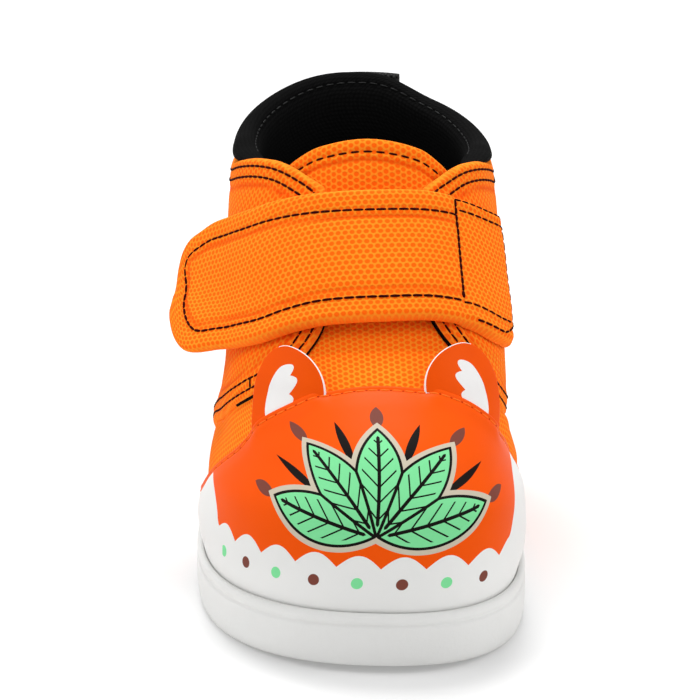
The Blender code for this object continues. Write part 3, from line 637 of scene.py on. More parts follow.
def vamp_swell(near):
    """How far the vamp stands out at its sides, below the quarters' front edges."""
    angle, level = vamp_lay(near.across, near.up)
    levels = np.linspace(QUARTER_EDGE[0].level, THROAT_END, EDGE_STEPS)
    lateral, medial = (np.interp(sign * angle, np.abs(edge[::-1]), levels[::-1])
                       for sign, edge in zip((-1, 1), quarter_edge(levels)))
    below = (np.where(angle < 0, lateral, medial) - level) * wall_height(angle)
    side = np.where(angle < 0, *VAMP_FULL) * ease((np.abs(angle) - FULL_FROM) / FULL_WITHIN)
    side = side * ease(level / FULL_LEVEL)
    return side * ease((below + FULL_UNDER) / FULL_RISE) * (1 - ease((below - FULL_DOWN) / FULL_FADE))


def vamp_face(near, side):
    padded = padded_share(vamp_lay(near.across, near.up)[1])
    half = VAMP_HALF + (TONGUE_HALF - VAMP_HALF) * padded
    crown = TONGUE_CROWN * padded * ease(near.edge / TONGUE_CROWN_WITHIN)
    row = padded * pressed_in(near.head, TONGUE_PRESSED)
    pressed = (row + TONGUE_CREASE.deep * vamp_crease(near)) * ease(near.edge / TONGUE_ROW)
    return side * (half * rim(near.edge, TONGUE_ROUND) + crown - pressed) + (side > 0) * vamp_swell(near)


def laid(angle, level, offset):
    """A path at an offset from the last, and its outward directions."""
    path = skin(angle, level, offset)
    return path, skin(angle, level, offset + 1.0) - path


def sew(name, rows, onto, stitch, finish, hole=None):
    """Rows of stitches as one piece, half sunk in the piece they sew.

    A row is a path and its outward directions. With a finish for hole, the needle's holes between the
    stitches show as small dents of that finish.
    """
    length, gap, thick = stitch
    bm = bmesh.new()
    bpy.context.view_layer.update()
    cloth_face = BVHTree.FromObject(onto, bpy.context.evaluated_depsgraph_get()) if onto else None
    for path, outward in rows:
        for k, (point, out) in enumerate(zip(path, outward) if onto else ()):
            start = (Vector(point + SEW_REACH * out) + FRAME_SHIFT) * MM
            hit, normal, _, _ = cloth_face.ray_cast(start, -Vector(out), 2 * SEW_REACH * MM)
            if hit:
                path[k] = hit / MM - FRAME_SHIFT
                outward[k] = normal
        run = np.concatenate([[0.0], np.linalg.norm(np.diff(path, axis=0), axis=1).cumsum()])
        count = max(1, int((run[-1] + gap) / (length + gap)))
        pitch = (run[-1] + gap) / count
        for k in range(count):
            starts, ends = k * pitch, (k + 1) * pitch - gap
            ends_at = np.stack([np.interp((starts, ends), run, path[:, i]) for i in range(3)], axis=1)
            up = Vector([np.interp((starts + ends) / 2, run, outward[:, i]) for i in range(3)])
            ahead = Vector(ends_at[1] - ends_at[0]) / 2
            out = (up - up.project(ahead)).normalized()
            side = out.cross(ahead.normalized())
            pose = Matrix((side * thick / 2, out * thick / 2, ahead)).transposed().to_4x4()
            pose.translation = Vector(ends_at.mean(axis=0))
            ball = bmesh.ops.create_uvsphere(bm, u_segments=STITCH_SIDES, v_segments=STITCH_RINGS, radius=1.0)
            for vert in ball["verts"]:
                vert.co.z = np.copysign(abs(vert.co.z) ** STITCH_BLUNT, vert.co.z)
            bmesh.ops.transform(bm, matrix=pose, verts=ball["verts"])
            if hole:
                aside, onward = side * gap / 2, ahead.normalized() * gap / 2
                pose = Matrix((aside, out * HOLE_RISE, onward)).transposed().to_4x4()
                pose.translation = Vector([np.interp(ends + gap / 2, run, path[:, i]) for i in range(3)])
                prick = bmesh.ops.create_uvsphere(
                    bm, u_segments=STITCH_SIDES, v_segments=HOLE_RINGS, radius=1.0, matrix=pose)
                for face in {f for vert in prick["verts"] for f in vert.link_faces}:
                    face.material_index = 1
    return finish_piece(name, bm, [finish, hole] if hole else [finish], subdivide=0)


def inset_path(angle, level, offset, inset, rounding=ROW_ROUND):
    """A row on the last moved sideways by inset, to its left seen from outside, its corners rounded."""
    path = skin(angle, level, offset)
    run = np.concatenate([[0.0], np.linalg.norm(np.diff(path, axis=0), axis=1).cumsum()])
    even = np.linspace(0.0, run[-1], int(run[-1] / ROW_STEP) + 2)
    given = (np.broadcast_to(values, run.shape) for values in (angle, level, offset))
    path, outward = laid(*(np.interp(even, run, values) for values in given))
    reach = int(rounding / ROW_STEP)
    window = np.hanning(2 * reach + 3)[1:-1]
    window = window / window.sum()
    longer = np.concatenate([2 * path[:1] - path[reach:0:-1], path, 2 * path[-1:] - path[-2:-reach - 2:-1]])
    path = np.stack([np.convolve(longer[:, k], window, mode="valid") for k in range(3)], axis=1)
    left = np.cross(outward, np.gradient(path, axis=0))
    return path + inset * left / np.linalg.norm(left, axis=-1, keepdims=True), outward


# Cotton duck in a coarse dobby weave, piece-dyed orange: thin raised threads round staggered rows of
# dimples, painted shade making the dimples and the creases beside the hems redder, a painted highlight
# making the folded edges paler, slubs in the crowns' tone, and a short fuzz over all
canvas, tree, surface = new_finish("orange_duck_canvas", Roughness=0.9, Specular_IOR_Level=0.06)
cloth = node(tree, "ShaderNodeUVMap", uv_map="weave")
wander = node(tree, "ShaderNodeTexNoise", {"Vector": cloth, "Scale": 1 / CANVAS_WANDER, "Detail": 2.0}, out=1)
wander = node(tree, "ShaderNodeVectorMath", {0: wander, 1: (0.5, 0.5, 0.5)}, operation="SUBTRACT")
wander = node(tree, "ShaderNodeVectorMath", {0: wander, "Scale": 0.22}, operation="SCALE")
threads = node(tree, "ShaderNodeVectorMath", {0: cloth, 1: wander}, operation="ADD")
threads = node(tree, "ShaderNodeSeparateXYZ", {0: threads}, out=None)
warp = node(tree, "ShaderNodeMath", {0: threads.outputs[0], 1: 2 * np.pi / CANVAS_PITCH},
            operation="MULTIPLY")
warp = node(tree, "ShaderNodeMath", {0: warp}, operation="COSINE")
weft = node(tree, "ShaderNodeMath", {0: threads.outputs[1], 1: np.pi / CANVAS_ROW}, operation="MULTIPLY")
weft = node(tree, "ShaderNodeMath", {0: weft}, operation="COSINE")
crossing = node(tree, "ShaderNodeMath", {0: warp, 1: weft}, operation="ADD")
crossing = node(tree, "ShaderNodeMath", {0: crossing, 1: weft}, operation="MULTIPLY")
dimple = node(tree, "ShaderNodeMapRange", {0: crossing, 1: -0.2, 2: 0.85, 3: 0.0, 4: 1.0},
              interpolation_type="SMOOTHSTEP")
slub = node(tree, "ShaderNodeTexNoise", {"Vector": cloth, "Scale": 1 / CANVAS_SLUB, "Detail": 4.0})
crown = node(tree, "ShaderNodeMix", {0: slub, 6: linear("FF9626"), 7: linear("FF8A1C")}, **COLOUR_MIX)
# Painted shade in the dimples: they get a redder orange than the crowns
dimple_shaded = node(tree, "ShaderNodeMix", {0: dimple, 6: crown, 7: linear("FF6408")}, **COLOUR_MIX)
border = node(tree, "ShaderNodeAttribute", out=2, attribute_name="edge_mm")
# Painted highlight along folded edges: the cloth is paler near its border
fold = node(tree, "ShaderNodeMapRange", {0: border, 1: CANVAS_EDGE_HIGHLIGHT[0], 2: CANVAS_EDGE_HIGHLIGHT[1], 3: 0.5, 4: 0.0},
            interpolation_type="SMOOTHSTEP")
painted_shading = node(tree, "ShaderNodeMix", {0: fold, 6: dimple_shaded, 7: linear("FF962A")}, **COLOUR_MIX)
# Painted shade in the creases beside the hems: the crease attribute makes the cloth redder there
crease = node(tree, "ShaderNodeAttribute", out=2, attribute_name="crease")
crease = node(tree, "ShaderNodeMath", {0: crease, 1: 0.8}, operation="MULTIPLY")
painted_shading = node(tree, "ShaderNodeMix", {0: crease, 6: painted_shading, 7: linear("F04E04")}, **COLOUR_MIX)
tree.links.new(painted_shading, surface.inputs["Base Color"])
fuzz = node(tree, "ShaderNodeTexNoise", {"Vector": cloth, "Scale": 1 / CANVAS_FUZZ, "Detail": 2.0})
relief = node(tree, "ShaderNodeMath", {0: fuzz, 1: 0.25, 2: dimple}, operation="MULTIPLY_ADD")
bump = node(tree, "ShaderNodeBump", {"Height": relief, "Strength": 0.45, "Distance": 0.2 * MM}, invert=True)
tree.links.new(bump, surface.inputs["Normal"])

# Bonded polyester sewing thread: near black with a wine cast, dull, its plies a fine mottle
dark_thread, tree, surface = new_finish("dark_sewing_thread", Roughness=0.7, Specular_IOR_Level=0.02)
place = node(tree, "ShaderNodeTexCoord", out=3)
ply = node(tree, "ShaderNodeTexNoise", {"Vector": place, "Scale": 1 / (THREAD_PLY * MM), "Detail": 2.0})
shade = node(tree, "ShaderNodeMix", {0: ply, 6: linear("1E0306"), 7: linear("420A0E")}, **COLOUR_MIX)
tree.links.new(shade, surface.inputs["Base Color"])
bump = node(tree, "ShaderNodeBump", {"Height": ply, "Strength": 0.4, "Distance": 0.08 * MM})
tree.links.new(bump, surface.inputs["Normal"])

# vamp_crease gives both the tongue's pressed crease and the painted shade in it
vamp_cloth = panel(
    VAMP_GRID, vamp_place, lambda near: vamp_face(near, 1), lambda near: vamp_face(near, -1),
    lambda across, up: wall_lengths(0.0, *vamp_lay(across, up)), vamp_crease,
)
vamp = finish_piece("vamp_and_tongue", vamp_cloth, [canvas, knit])
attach(vamp, "root")
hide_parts("tongue")

head_across = np.linspace(0.0, 1.0, TONGUE_ROW_POINTS)
head_angle, head_level = vamp_lay(head_across, np.ones_like(head_across))
tongue_row = inset_path(head_angle, head_level, TONGUE_MIDDLE + TONGUE_HALF - TONGUE_ROW_SUNK, -TONGUE_ROW)
tongue_stitches = sew("tongue_stitches", [tongue_row], vamp, TONGUE_STITCH, dark_thread)
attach(tongue_stitches, "root")

# Quarters: two canvas panels lapped over the vamp, their front and top edges folded under and sewn with two
# rows. They meet in a closed seam at the back of the heel, and on each side a bar tack joins the two rows.
ToplineRow = namedtuple("ToplineRow", "share level")
QUARTER_TOPLINE = (
    ToplineRow(0.00, 0.864),
    ToplineRow(0.03, 0.899),
    ToplineRow(0.07, 0.922),
    ToplineRow(0.12, 0.938),
    ToplineRow(0.20, 0.946),
    ToplineRow(0.28, 0.940),
    ToplineRow(0.36, 0.921),
    ToplineRow(0.45, 0.904),
    ToplineRow(0.55, 0.898),
    ToplineRow(0.70, 0.898),
    ToplineRow(1.00, 0.900),
)
QUARTER_FOOT = -0.050
QUARTER_MIDDLE = 2.4
QUARTER_THICK = 1.4
QUARTER_THIN = 0.3                          # the front edge is hammered flat
QUARTER_ROUND = 1.0
QUARTER_THIN_WITHIN = 4.0
QUARTER_SIT = 0.3                           # and pressed onto the vamp
QUARTER_SIT_WITHIN = 6.0
QUARTER_BAND = 5.3                          # mm of cloth folded under along the front and top edges
BAND_RISE = 0.2
BAND_STEP = (-0.4, 0.6)                     # mm past the band where its step begins, and the step's width
QUARTER_FROM = 112.0                        # the cloth's upright thread runs up the side of the heel
QUARTER_PRESSED = (Press(1.7, 0.22, 0.42), Press(3.9, 0.22, 0.42))          # under the two rows of stitches
QUARTER_CREASE = Press(QUARTER_BAND + 0.4, 0.3, 0.45)
QUARTER_FADE = 1.2                          # mm from the border to the full depth of pressed lines
QUARTER_STITCH = Stitch(2.10, 0.16, 0.56)
QUARTER_ROWS_FROM = 0.035                   # level where the rows come out of the sole
QUARTER_ROW_ROUND = 5.0
QUARTER_GRID = Grid(92, 60, 0.82)
EDGE_POINTS = 400
QUARTER_EDGE_SHADE = 0.3                          # mm of the throat's edges given the black finish, as painted shade for the gap under them
THROAT_LOW = {"lateral": 39.5, "medial": 43.0}      # mm above the ground where the throat begins
THROAT_HIGH = 72.0                          # and where it ends
THROAT_BACK = 15.0
BAR_AT = 56.0                               # where a bar of stitches joins the two rows
BAR_LEVEL = 0.44
BAR_POINTS = 12


def quarter_lay(sign, across, up):
    top = table(QUARTER_TOPLINE, "level", across)
    level = QUARTER_FOOT + up * (top - QUARTER_FOOT)
    edge = quarter_edge(level)[0 if sign < 0 else 1]
    return edge + (sign * 180 - edge) * across, level


def quarter_inside(near):
    return -QUARTER_THICK / 2 - QUARTER_SIT * (1 - ease(near.start / QUARTER_SIT_WITHIN))


def quarter_crease(near):
    return pressed_line(np.minimum(near.start, near.head), QUARTER_CREASE)


def quarter_outside(near):
    sewn = np.minimum(near.start, near.head)
    rows = pressed_in(sewn, QUARTER_PRESSED)
    crease = QUARTER_CREASE.deep * quarter_crease(near)
    band = BAND_RISE * (1 - ease((sewn - QUARTER_BAND - BAND_STEP[0]) / BAND_STEP[1]))
    thick = QUARTER_THICK - QUARTER_THIN * (1 - ease(near.start / QUARTER_THIN_WITHIN))
    plain = quarter_inside(near) + thick * rim(near.edge, QUARTER_ROUND)
    return plain + (band - rows - crease) * ease(near.edge / QUARTER_FADE)


for side_name, sign in (("lateral", -1), ("medial", 1)):
    # quarter_crease gives both the pressed crease beside the folded band and the painted shade in it
    quarter_cloth = panel(
        QUARTER_GRID,
        lambda across, up, height: skin(*quarter_lay(sign, across, up), QUARTER_MIDDLE + height),
        quarter_outside, quarter_inside,
        lambda across, up: wall_lengths(sign * QUARTER_FROM, *quarter_lay(sign, across, up)),
        quarter_crease,
    )
    edge_mm = quarter_cloth.verts.layers.float["edge_mm"]
    for face in quarter_cloth.faces:
        from_edge = max(vert[edge_mm] for vert in face.verts)
        middle = face.calc_center_median()
        in_throat = THROAT_LOW[side_name] < middle.z < THROAT_HIGH and middle.y < THROAT_BACK
        # Painted shade: a thin rim of each throat edge takes the black lining's finish, for the shadow gap
        # beneath it
        if from_edge < QUARTER_EDGE_SHADE and in_throat:
            face.material_index = 1
        elif from_edge < QUARTER_BAND:
            face.material_index = 0
    quarter = finish_piece(f"quarter_{side_name}", quarter_cloth, [canvas, knit])
    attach(quarter, "root")
    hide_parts("upper")
    along = np.linspace(0.0, 1.0, EDGE_POINTS)
    front_angle, front_level = quarter_lay(sign, np.zeros_like(along), along)
    top_angle, top_level = quarter_lay(sign, along, np.ones_like(along))
    edge_angle = np.concatenate([front_angle, top_angle[1:]])
    edge_level = np.concatenate([front_level, top_level[1:]])
    shown = edge_level > QUARTER_ROWS_FROM
    face_offset = QUARTER_MIDDLE + QUARTER_THICK / 2
    rows = [inset_path(edge_angle[shown], edge_level[shown], face_offset, -sign * line.at, QUARTER_ROW_ROUND)
            for line in QUARTER_PRESSED]
    bar_place = skin(sign * BAR_AT, BAR_LEVEL, QUARTER_MIDDLE)
    bar_ends = []
    for path, outward in rows:
        nearest = np.linalg.norm(path - bar_place, axis=1).argmin()
        bar_ends.append((path[nearest], outward[nearest]))
    rows.append(tuple(np.linspace(start, end, BAR_POINTS) for start, end in zip(*bar_ends)))
    quarter_stitches = sew(f"quarter_{side_name}_stitches", rows, quarter, QUARTER_STITCH, dark_thread)
    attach(quarter_stitches, "root")

# Toe cap: smooth coated leather with a printed design, laid over the vamp, its lower edge in the sole's cup
# and its upper edge cut clean and sewn down with thread of its own colour.
CapRow = namedtuple("CapRow", "angle level")
CAP_EDGE = (
    CapRow(-108.0, 0.000),
    CapRow(-100.0, 0.060),
    CapRow(-90.0, 0.140),
    CapRow(-77.5, 0.228),
    CapRow(-65.5, 0.300),
    CapRow(-50.0, 0.374),
    CapRow(-33.0, 0.419),
    CapRow(-17.0, 0.451),
    CapRow(0.0, 0.462),
    CapRow(13.5, 0.457),
    CapRow(26.5, 0.440),
    CapRow(35.5, 0.422),
    CapRow(43.0, 0.404),
    CapRow(53.5, 0.375),
    CapRow(65.5, 0.336),
    CapRow(76.0, 0.272),
    CapRow(84.0, 0.205),
    CapRow(92.0, 0.128),
    CapRow(98.0, 0.062),
    CapRow(103.0, 0.000),
)
CAP_LATERAL_END = -104.0
CAP_MEDIAL_END = 99.5
CAP_TUCK = -0.026
CAP_MIDDLE = 2.5
CAP_HALF = 0.6
CAP_SIT = 0.42                              # the sewn edge is pressed down onto the vamp
CAP_SIT_WITHIN = 6.0
CAP_ROUND = 0.7
CAP_ROW = Press(1.5, 0.22, 0.45)
CAP_ROW_ENDS = (-100.0, 97.0)
CAP_ROW_FROM = 0.01                         # level where the row comes out of the sole
CAP_ROW_SUNK = 0.1
CAP_ROW_POINTS = 500
CAP_STITCH = Stitch(1.85, 0.50, 0.40)
CAP_GRID = Grid(132, 52, 0.86)
Ear = namedtuple("Ear", "name node centre half_width peak")
EARS = (
    Ear("ear_lateral", "ear_tab_lateral", -36.0, 17.4, 0.493),
    Ear("ear_medial", "ear_tab_medial", 34.0, 20.2, 0.500),
)
EAR_BULGE = 1.1                             # the cap rides over the roots of the two tabs
BULGE_FLAT = 0.75                           # shares of a tab's half width: level top and slope of that rise
BULGE_SLOPE = 0.35


def cap_lay(across, up):
    angle = np.where(across < 0.5, CAP_LATERAL_END * (1 - 2 * across), CAP_MEDIAL_END * (2 * across - 1))
    return angle, CAP_TUCK + up * (table(CAP_EDGE, "level", angle) - CAP_TUCK)


def over_ears(angle):
    """1 over the roots of the two tabs, 0 away from them."""
    asides = ((np.abs(angle - ear.centre), ear.half_width) for ear in EARS)
    return sum(1 - ease((aside - BULGE_FLAT * half) / (BULGE_SLOPE * half)) for aside, half in asides)


def cap_face(near, side):
    angle = cap_lay(near.across, near.up)[0]
    lift = EAR_BULGE * over_ears(angle) * (1 - ease(near.head / CAP_SIT_WITHIN))
    sit = CAP_SIT * (1 - ease(np.minimum.reduce([near.head, near.start, near.end]) / CAP_SIT_WITHIN))
    row = pressed_in(near.head, [CAP_ROW]) * ease(near.edge / CAP_ROW.at)
    return lift - sit - CAP_HALF + (side > 0) * (2 * CAP_HALF * rim(near.edge, CAP_ROUND) - row)


# Coated split leather, printed and satin lacquered: smooth with a faint pebble, orange above a scalloped
# white foot, with a fan of green leaves, black blades between them and brown buds
cap_leather, tree, surface = new_finish("printed_coated_leather", Roughness=0.42, Specular_IOR_Level=0.05)
FAN_FOOT = 17.5                             # mm above the cap's lower edge where the leaves spring
FAN_ASIDE = -1.5
FAN_STEP = np.radians(38)
LEAF_MIDDLE = 11.4                          # mm from the fan's foot to the middle of a leaf
LEAF_LENGTH = 21.0
LEAF_HALF = 4.1
BLADE_MIDDLE = 19.5
BLADE_LENGTH = 11.0
BLADE_HALF = 0.9
BUD_MIDDLE = 25.2
BUD_LENGTH = 5.6
BUD_HALF = 1.3
PARTING_HALF = 0.3                          # the dark line between two leaves
VEIN_PITCH = 3.1
VEIN_SLANT = 1.1
VEIN_SHARE = 0.15                           # of the pitch
RIB_HALF = 0.34
VEIN_MARGIN = 0.75                          # mm of plain green left inside a leaf's edge
SCALLOP_PITCH = 8.5
SCALLOP_FOOT = 11.6
SCALLOP_RISE = 2.4
FOOT_CENTRE = -6.0                          # the printed foot's middle, towards the lateral side
FOOT_CLIMB = (35.0, 43.5)                   # mm from that middle where the white climbs up the sides
FOOT_CLIMB_BY = 26.0
SEAM_BAND = 2.3                             # mm of orange left along the sewn edge
DOTS_WITHIN = 33.0
DOTS_UP = 8.6
DOT_RADIUS = 1.15
CAP_LACQUER = 16.0                          # mm between the lacquer's lighter and darker places
LEATHER_PEBBLE = 0.8
LEATHER_ORANGE = ("F45806", "EC5004")
LEAF_GREEN = "7FDE9B"
BUD_BROWN = "7A4338"
VEIN_BLACK = "14120F"
cloth = node(tree, "ShaderNodeUVMap", uv_map="weave")
spot = node(tree, "ShaderNodeSeparateXYZ", {0: cloth}, out=None)
fan_up = node(tree, "ShaderNodeMath", {0: spot.outputs[1], 1: FAN_FOOT}, operation="SUBTRACT")
fan_side = node(tree, "ShaderNodeMath", {0: spot.outputs[0], 1: FAN_ASIDE}, operation="SUBTRACT")
fan_turn = node(tree, "ShaderNodeMath", {0: fan_side, 1: fan_up}, operation="ARCTAN2")
fan_spot = node(tree, "ShaderNodeCombineXYZ", {0: fan_side, 1: fan_up})
fan_out = node(tree, "ShaderNodeVectorMath", {0: fan_spot}, out=1, operation="LENGTH")
fan_part = node(tree, "ShaderNodeMath", {0: fan_turn, 1: FAN_STEP}, operation="DIVIDE")
shapes = {}
Frond = namedtuple("Frond", "name shift last middle length half")
for frond in (Frond("leaf", 0.0, 2.0, LEAF_MIDDLE, LEAF_LENGTH, LEAF_HALF),
              Frond("blade", 0.5, 1.5, BLADE_MIDDLE, BLADE_LENGTH, BLADE_HALF),
              Frond("bud", 0.0, 2.0, BUD_MIDDLE, BUD_LENGTH, BUD_HALF)):
    number = node(tree, "ShaderNodeMath", {0: fan_part, 1: frond.shift}, operation="SUBTRACT")
    number = node(tree, "ShaderNodeMath", {0: number}, operation="ROUND")
    number = node(tree, "ShaderNodeMath", {0: number, 1: frond.shift}, operation="ADD")
    number = node(tree, "ShaderNodeMath", {0: number, 1: frond.last}, operation="MINIMUM")
    number = node(tree, "ShaderNodeMath", {0: number, 1: -frond.last}, operation="MAXIMUM")
    turn = node(tree, "ShaderNodeMath", {0: number, 1: -FAN_STEP, 2: fan_turn}, operation="MULTIPLY_ADD")
    sine = node(tree, "ShaderNodeMath", {0: turn}, operation="SINE")
    cosine = node(tree, "ShaderNodeMath", {0: turn}, operation="COSINE")
    beside = node(tree, "ShaderNodeMath", {0: sine, 1: fan_out}, operation="MULTIPLY")
    beside = node(tree, "ShaderNodeMath", {0: beside}, operation="ABSOLUTE")
    along = node(tree, "ShaderNodeMath", {0: cosine, 1: fan_out}, operation="MULTIPLY")
    bow = (frond.length ** 2 / 4 + frond.half ** 2) / (2 * frond.half)
    from_bow = node(tree, "ShaderNodeMath", {0: beside, 1: bow - frond.half}, operation="ADD")
    from_middle = node(tree, "ShaderNodeMath", {0: along, 1: frond.middle}, operation="SUBTRACT")
    from_bow = node(tree, "ShaderNodeCombineXYZ", {0: from_bow, 1: from_middle})
    from_bow = node(tree, "ShaderNodeVectorMath", {0: from_bow}, out=1, operation="LENGTH")
    outside_by = node(tree, "ShaderNodeMath", {0: from_bow, 1: bow}, operation="SUBTRACT")
    shapes[frond.name] = (beside, along, outside_by, turn)
beside, along, leaf_by, turn = shapes["leaf"]
blade_by = shapes["blade"][2]
bud_by = shapes["bud"][2]
between = node(tree, "ShaderNodeMath", {0: turn}, operation="ABSOLUTE")
between = node(tree, "ShaderNodeMath", {0: FAN_STEP / 2, 1: between}, operation="SUBTRACT")
between = node(tree, "ShaderNodeMath", {0: between}, operation="SINE")
between = node(tree, "ShaderNodeMath", {0: between, 1: fan_out}, operation="MULTIPLY")
between = node(tree, "ShaderNodeMath", {0: between, 1: 0.0, 2: PARTING_HALF}, operation="COMPARE")
inner_leaf = node(tree, "ShaderNodeMath", {0: fan_turn}, operation="ABSOLUTE")
inner_leaf = node(tree, "ShaderNodeMath", {0: inner_leaf, 1: 2 * FAN_STEP}, operation="LESS_THAN")
between = node(tree, "ShaderNodeMath", {0: between, 1: inner_leaf}, operation="MULTIPLY")
vein = node(tree, "ShaderNodeMath", {0: beside, 1: -VEIN_SLANT, 2: along}, operation="MULTIPLY_ADD")
vein = node(tree, "ShaderNodeMath", {0: vein, 1: VEIN_PITCH}, operation="DIVIDE")
vein = node(tree, "ShaderNodeMath", {0: vein}, operation="FRACT")
vein = node(tree, "ShaderNodeMath", {0: vein, 1: VEIN_SHARE}, operation="LESS_THAN")
rib = node(tree, "ShaderNodeMath", {0: beside, 1: RIB_HALF}, operation="LESS_THAN")
rib = node(tree, "ShaderNodeMath", {0: rib, 1: vein}, operation="MAXIMUM")
within = node(tree, "ShaderNodeMath", {0: leaf_by, 1: -VEIN_MARGIN}, operation="LESS_THAN")
rib = node(tree, "ShaderNodeMath", {0: rib, 1: within}, operation="MULTIPLY")
within = node(tree, "ShaderNodeMath", {0: leaf_by, 1: PARTING_HALF}, operation="LESS_THAN")
between = node(tree, "ShaderNodeMath", {0: between, 1: within}, operation="MULTIPLY")
rib = node(tree, "ShaderNodeMath", {0: rib, 1: between}, operation="MAXIMUM")
scallop = node(tree, "ShaderNodeMath", {0: spot.outputs[0], 1: np.pi / SCALLOP_PITCH}, operation="MULTIPLY")
scallop = node(tree, "ShaderNodeMath", {0: scallop}, operation="SINE")
scallop = node(tree, "ShaderNodeMath", {0: scallop}, operation="ABSOLUTE")
scallop = node(tree, "ShaderNodeMath", {0: scallop, 1: SCALLOP_RISE, 2: SCALLOP_FOOT},
               operation="MULTIPLY_ADD")
sideways = node(tree, "ShaderNodeMath", {0: spot.outputs[0], 1: FOOT_CENTRE}, operation="SUBTRACT")
sideways = node(tree, "ShaderNodeMath", {0: sideways}, operation="ABSOLUTE")
climb = node(tree, "ShaderNodeMapRange",
             {0: sideways, 1: FOOT_CLIMB[0], 2: FOOT_CLIMB[1], 3: 0.0, 4: FOOT_CLIMB_BY},
             interpolation_type="SMOOTHSTEP")
scallop = node(tree, "ShaderNodeMath", {0: scallop, 1: climb}, operation="ADD")
foot_white = node(tree, "ShaderNodeMath", {0: spot.outputs[1], 1: scallop}, operation="LESS_THAN")
below_seam = node(tree, "ShaderNodeAttribute", out=2, attribute_name="head_mm")
below_seam = node(tree, "ShaderNodeMath", {0: below_seam, 1: SEAM_BAND}, operation="GREATER_THAN")
foot_white = node(tree, "ShaderNodeMath", {0: foot_white, 1: below_seam}, operation="MULTIPLY")
dot_across = node(tree, "ShaderNodeMath", {0: spot.outputs[0], 1: SCALLOP_PITCH}, operation="DIVIDE")
dot_number = node(tree, "ShaderNodeMath", {0: dot_across}, operation="FLOOR")
dot_across = node(tree, "ShaderNodeMath", {0: dot_across, 1: dot_number}, operation="SUBTRACT")
dot_across = node(tree, "ShaderNodeMath", {0: dot_across, 1: SCALLOP_PITCH, 2: -SCALLOP_PITCH / 2},
                  operation="MULTIPLY_ADD")
dot_up = node(tree, "ShaderNodeMath", {0: spot.outputs[1], 1: DOTS_UP}, operation="SUBTRACT")
dot_spot = node(tree, "ShaderNodeCombineXYZ", {0: dot_across, 1: dot_up})
dot_by = node(tree, "ShaderNodeVectorMath", {0: dot_spot}, out=1, operation="LENGTH")
dot = node(tree, "ShaderNodeMath", {0: dot_by, 1: DOT_RADIUS}, operation="LESS_THAN")
dotted = node(tree, "ShaderNodeMath", {0: sideways, 1: DOTS_WITHIN}, operation="LESS_THAN")
dot = node(tree, "ShaderNodeMath", {0: dot, 1: dotted}, operation="MULTIPLY")
odd = node(tree, "ShaderNodeMath", {0: dot_number, 1: 2.0}, operation="FLOORED_MODULO")
dot_colour = node(tree, "ShaderNodeMix", {0: odd, 6: linear(BUD_BROWN), 7: linear(LEAF_GREEN)}, **COLOUR_MIX)
lacquer = node(tree, "ShaderNodeTexNoise", {"Vector": cloth, "Scale": 1 / CAP_LACQUER, "Detail": 2.0})
bright, deep = (linear(code) for code in LEATHER_ORANGE)
printed = node(tree, "ShaderNodeMix", {0: lacquer, 6: bright, 7: deep}, **COLOUR_MIX)
Ink = namedtuple("Ink", "distance within colour")
for ink in (Ink(blade_by, 0.0, "17110F"), Ink(bud_by, 0.0, BUD_BROWN), Ink(leaf_by, 1.5, "C8BEAA"),
            Ink(leaf_by, 0.55, VEIN_BLACK), Ink(leaf_by, 0.0, LEAF_GREEN)):
    inked = node(tree, "ShaderNodeMath", {0: ink.distance, 1: ink.within}, operation="LESS_THAN")
    printed = node(tree, "ShaderNodeMix", {0: inked, 6: printed, 7: linear(ink.colour)}, **COLOUR_MIX)
printed = node(tree, "ShaderNodeMix", {0: rib, 6: printed, 7: linear(VEIN_BLACK)}, **COLOUR_MIX)
printed = node(tree, "ShaderNodeMix", {0: foot_white, 6: printed, 7: linear("E6E6E4")}, **COLOUR_MIX)
dot = node(tree, "ShaderNodeMath", {0: dot, 1: foot_white}, operation="MULTIPLY")
printed = node(tree, "ShaderNodeMix", {0: dot, 6: printed, 7: dot_colour}, **COLOUR_MIX)
tree.links.new(printed, surface.inputs["Base Color"])
pebble = node(tree, "ShaderNodeTexVoronoi", {"Vector": cloth, "Scale": 1 / LEATHER_PEBBLE},
              feature="SMOOTH_F1")
bump = node(tree, "ShaderNodeBump", {"Height": pebble, "Strength": 0.12, "Distance": 0.1 * MM})
tree.links.new(bump, surface.inputs["Normal"])

# Polyester thread dyed to the cap's colour: a little lighter than the leather, with a low gloss
orange_thread, tree, surface = new_finish("orange_sewing_thread", Roughness=0.6, Specular_IOR_Level=0.15)
place = node(tree, "ShaderNodeTexCoord", out=3)
ply = node(tree, "ShaderNodeTexNoise", {"Vector": place, "Scale": 1 / (THREAD_PLY * MM), "Detail": 2.0})
shade = node(tree, "ShaderNodeMix", {0: ply, 6: linear("F0600A"), 7: linear("FF7A1C")}, **COLOUR_MIX)
tree.links.new(shade, surface.inputs["Base Color"])

# The needle's holes: leather pulled in beside the thread, dark red in their own shadow
needle_hole, tree, surface = new_finish("pricked_leather", Roughness=0.8, Specular_IOR_Level=0.02)
surface.inputs["Base Color"].default_value = linear("C0380A")

cap_sheet = panel(
    CAP_GRID, lambda across, up, height: skin(*cap_lay(across, up), CAP_MIDDLE + height),
    lambda near: cap_face(near, 1), lambda near: cap_face(near, -1),
)
toe_cap = finish_piece("toe_cap_leather", cap_sheet, [cap_leather, cap_leather])
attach(toe_cap, "root")
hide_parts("toe_cap")
row_angle = np.linspace(*CAP_ROW_ENDS, CAP_ROW_POINTS)
row_level = table(CAP_EDGE, "level", row_angle)
row_shown = row_level > CAP_ROW_FROM
row_offset = CAP_MIDDLE + CAP_HALF - CAP_ROW_SUNK + EAR_BULGE * over_ears(row_angle) - CAP_SIT
cap_row = inset_path(row_angle[row_shown], row_level[row_shown], row_offset[row_shown], -CAP_ROW.at)
cap_stitches = sew("toe_cap_stitches", [cap_row], toe_cap, CAP_STITCH, orange_thread, needle_hole)
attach(cap_stitches, "root")

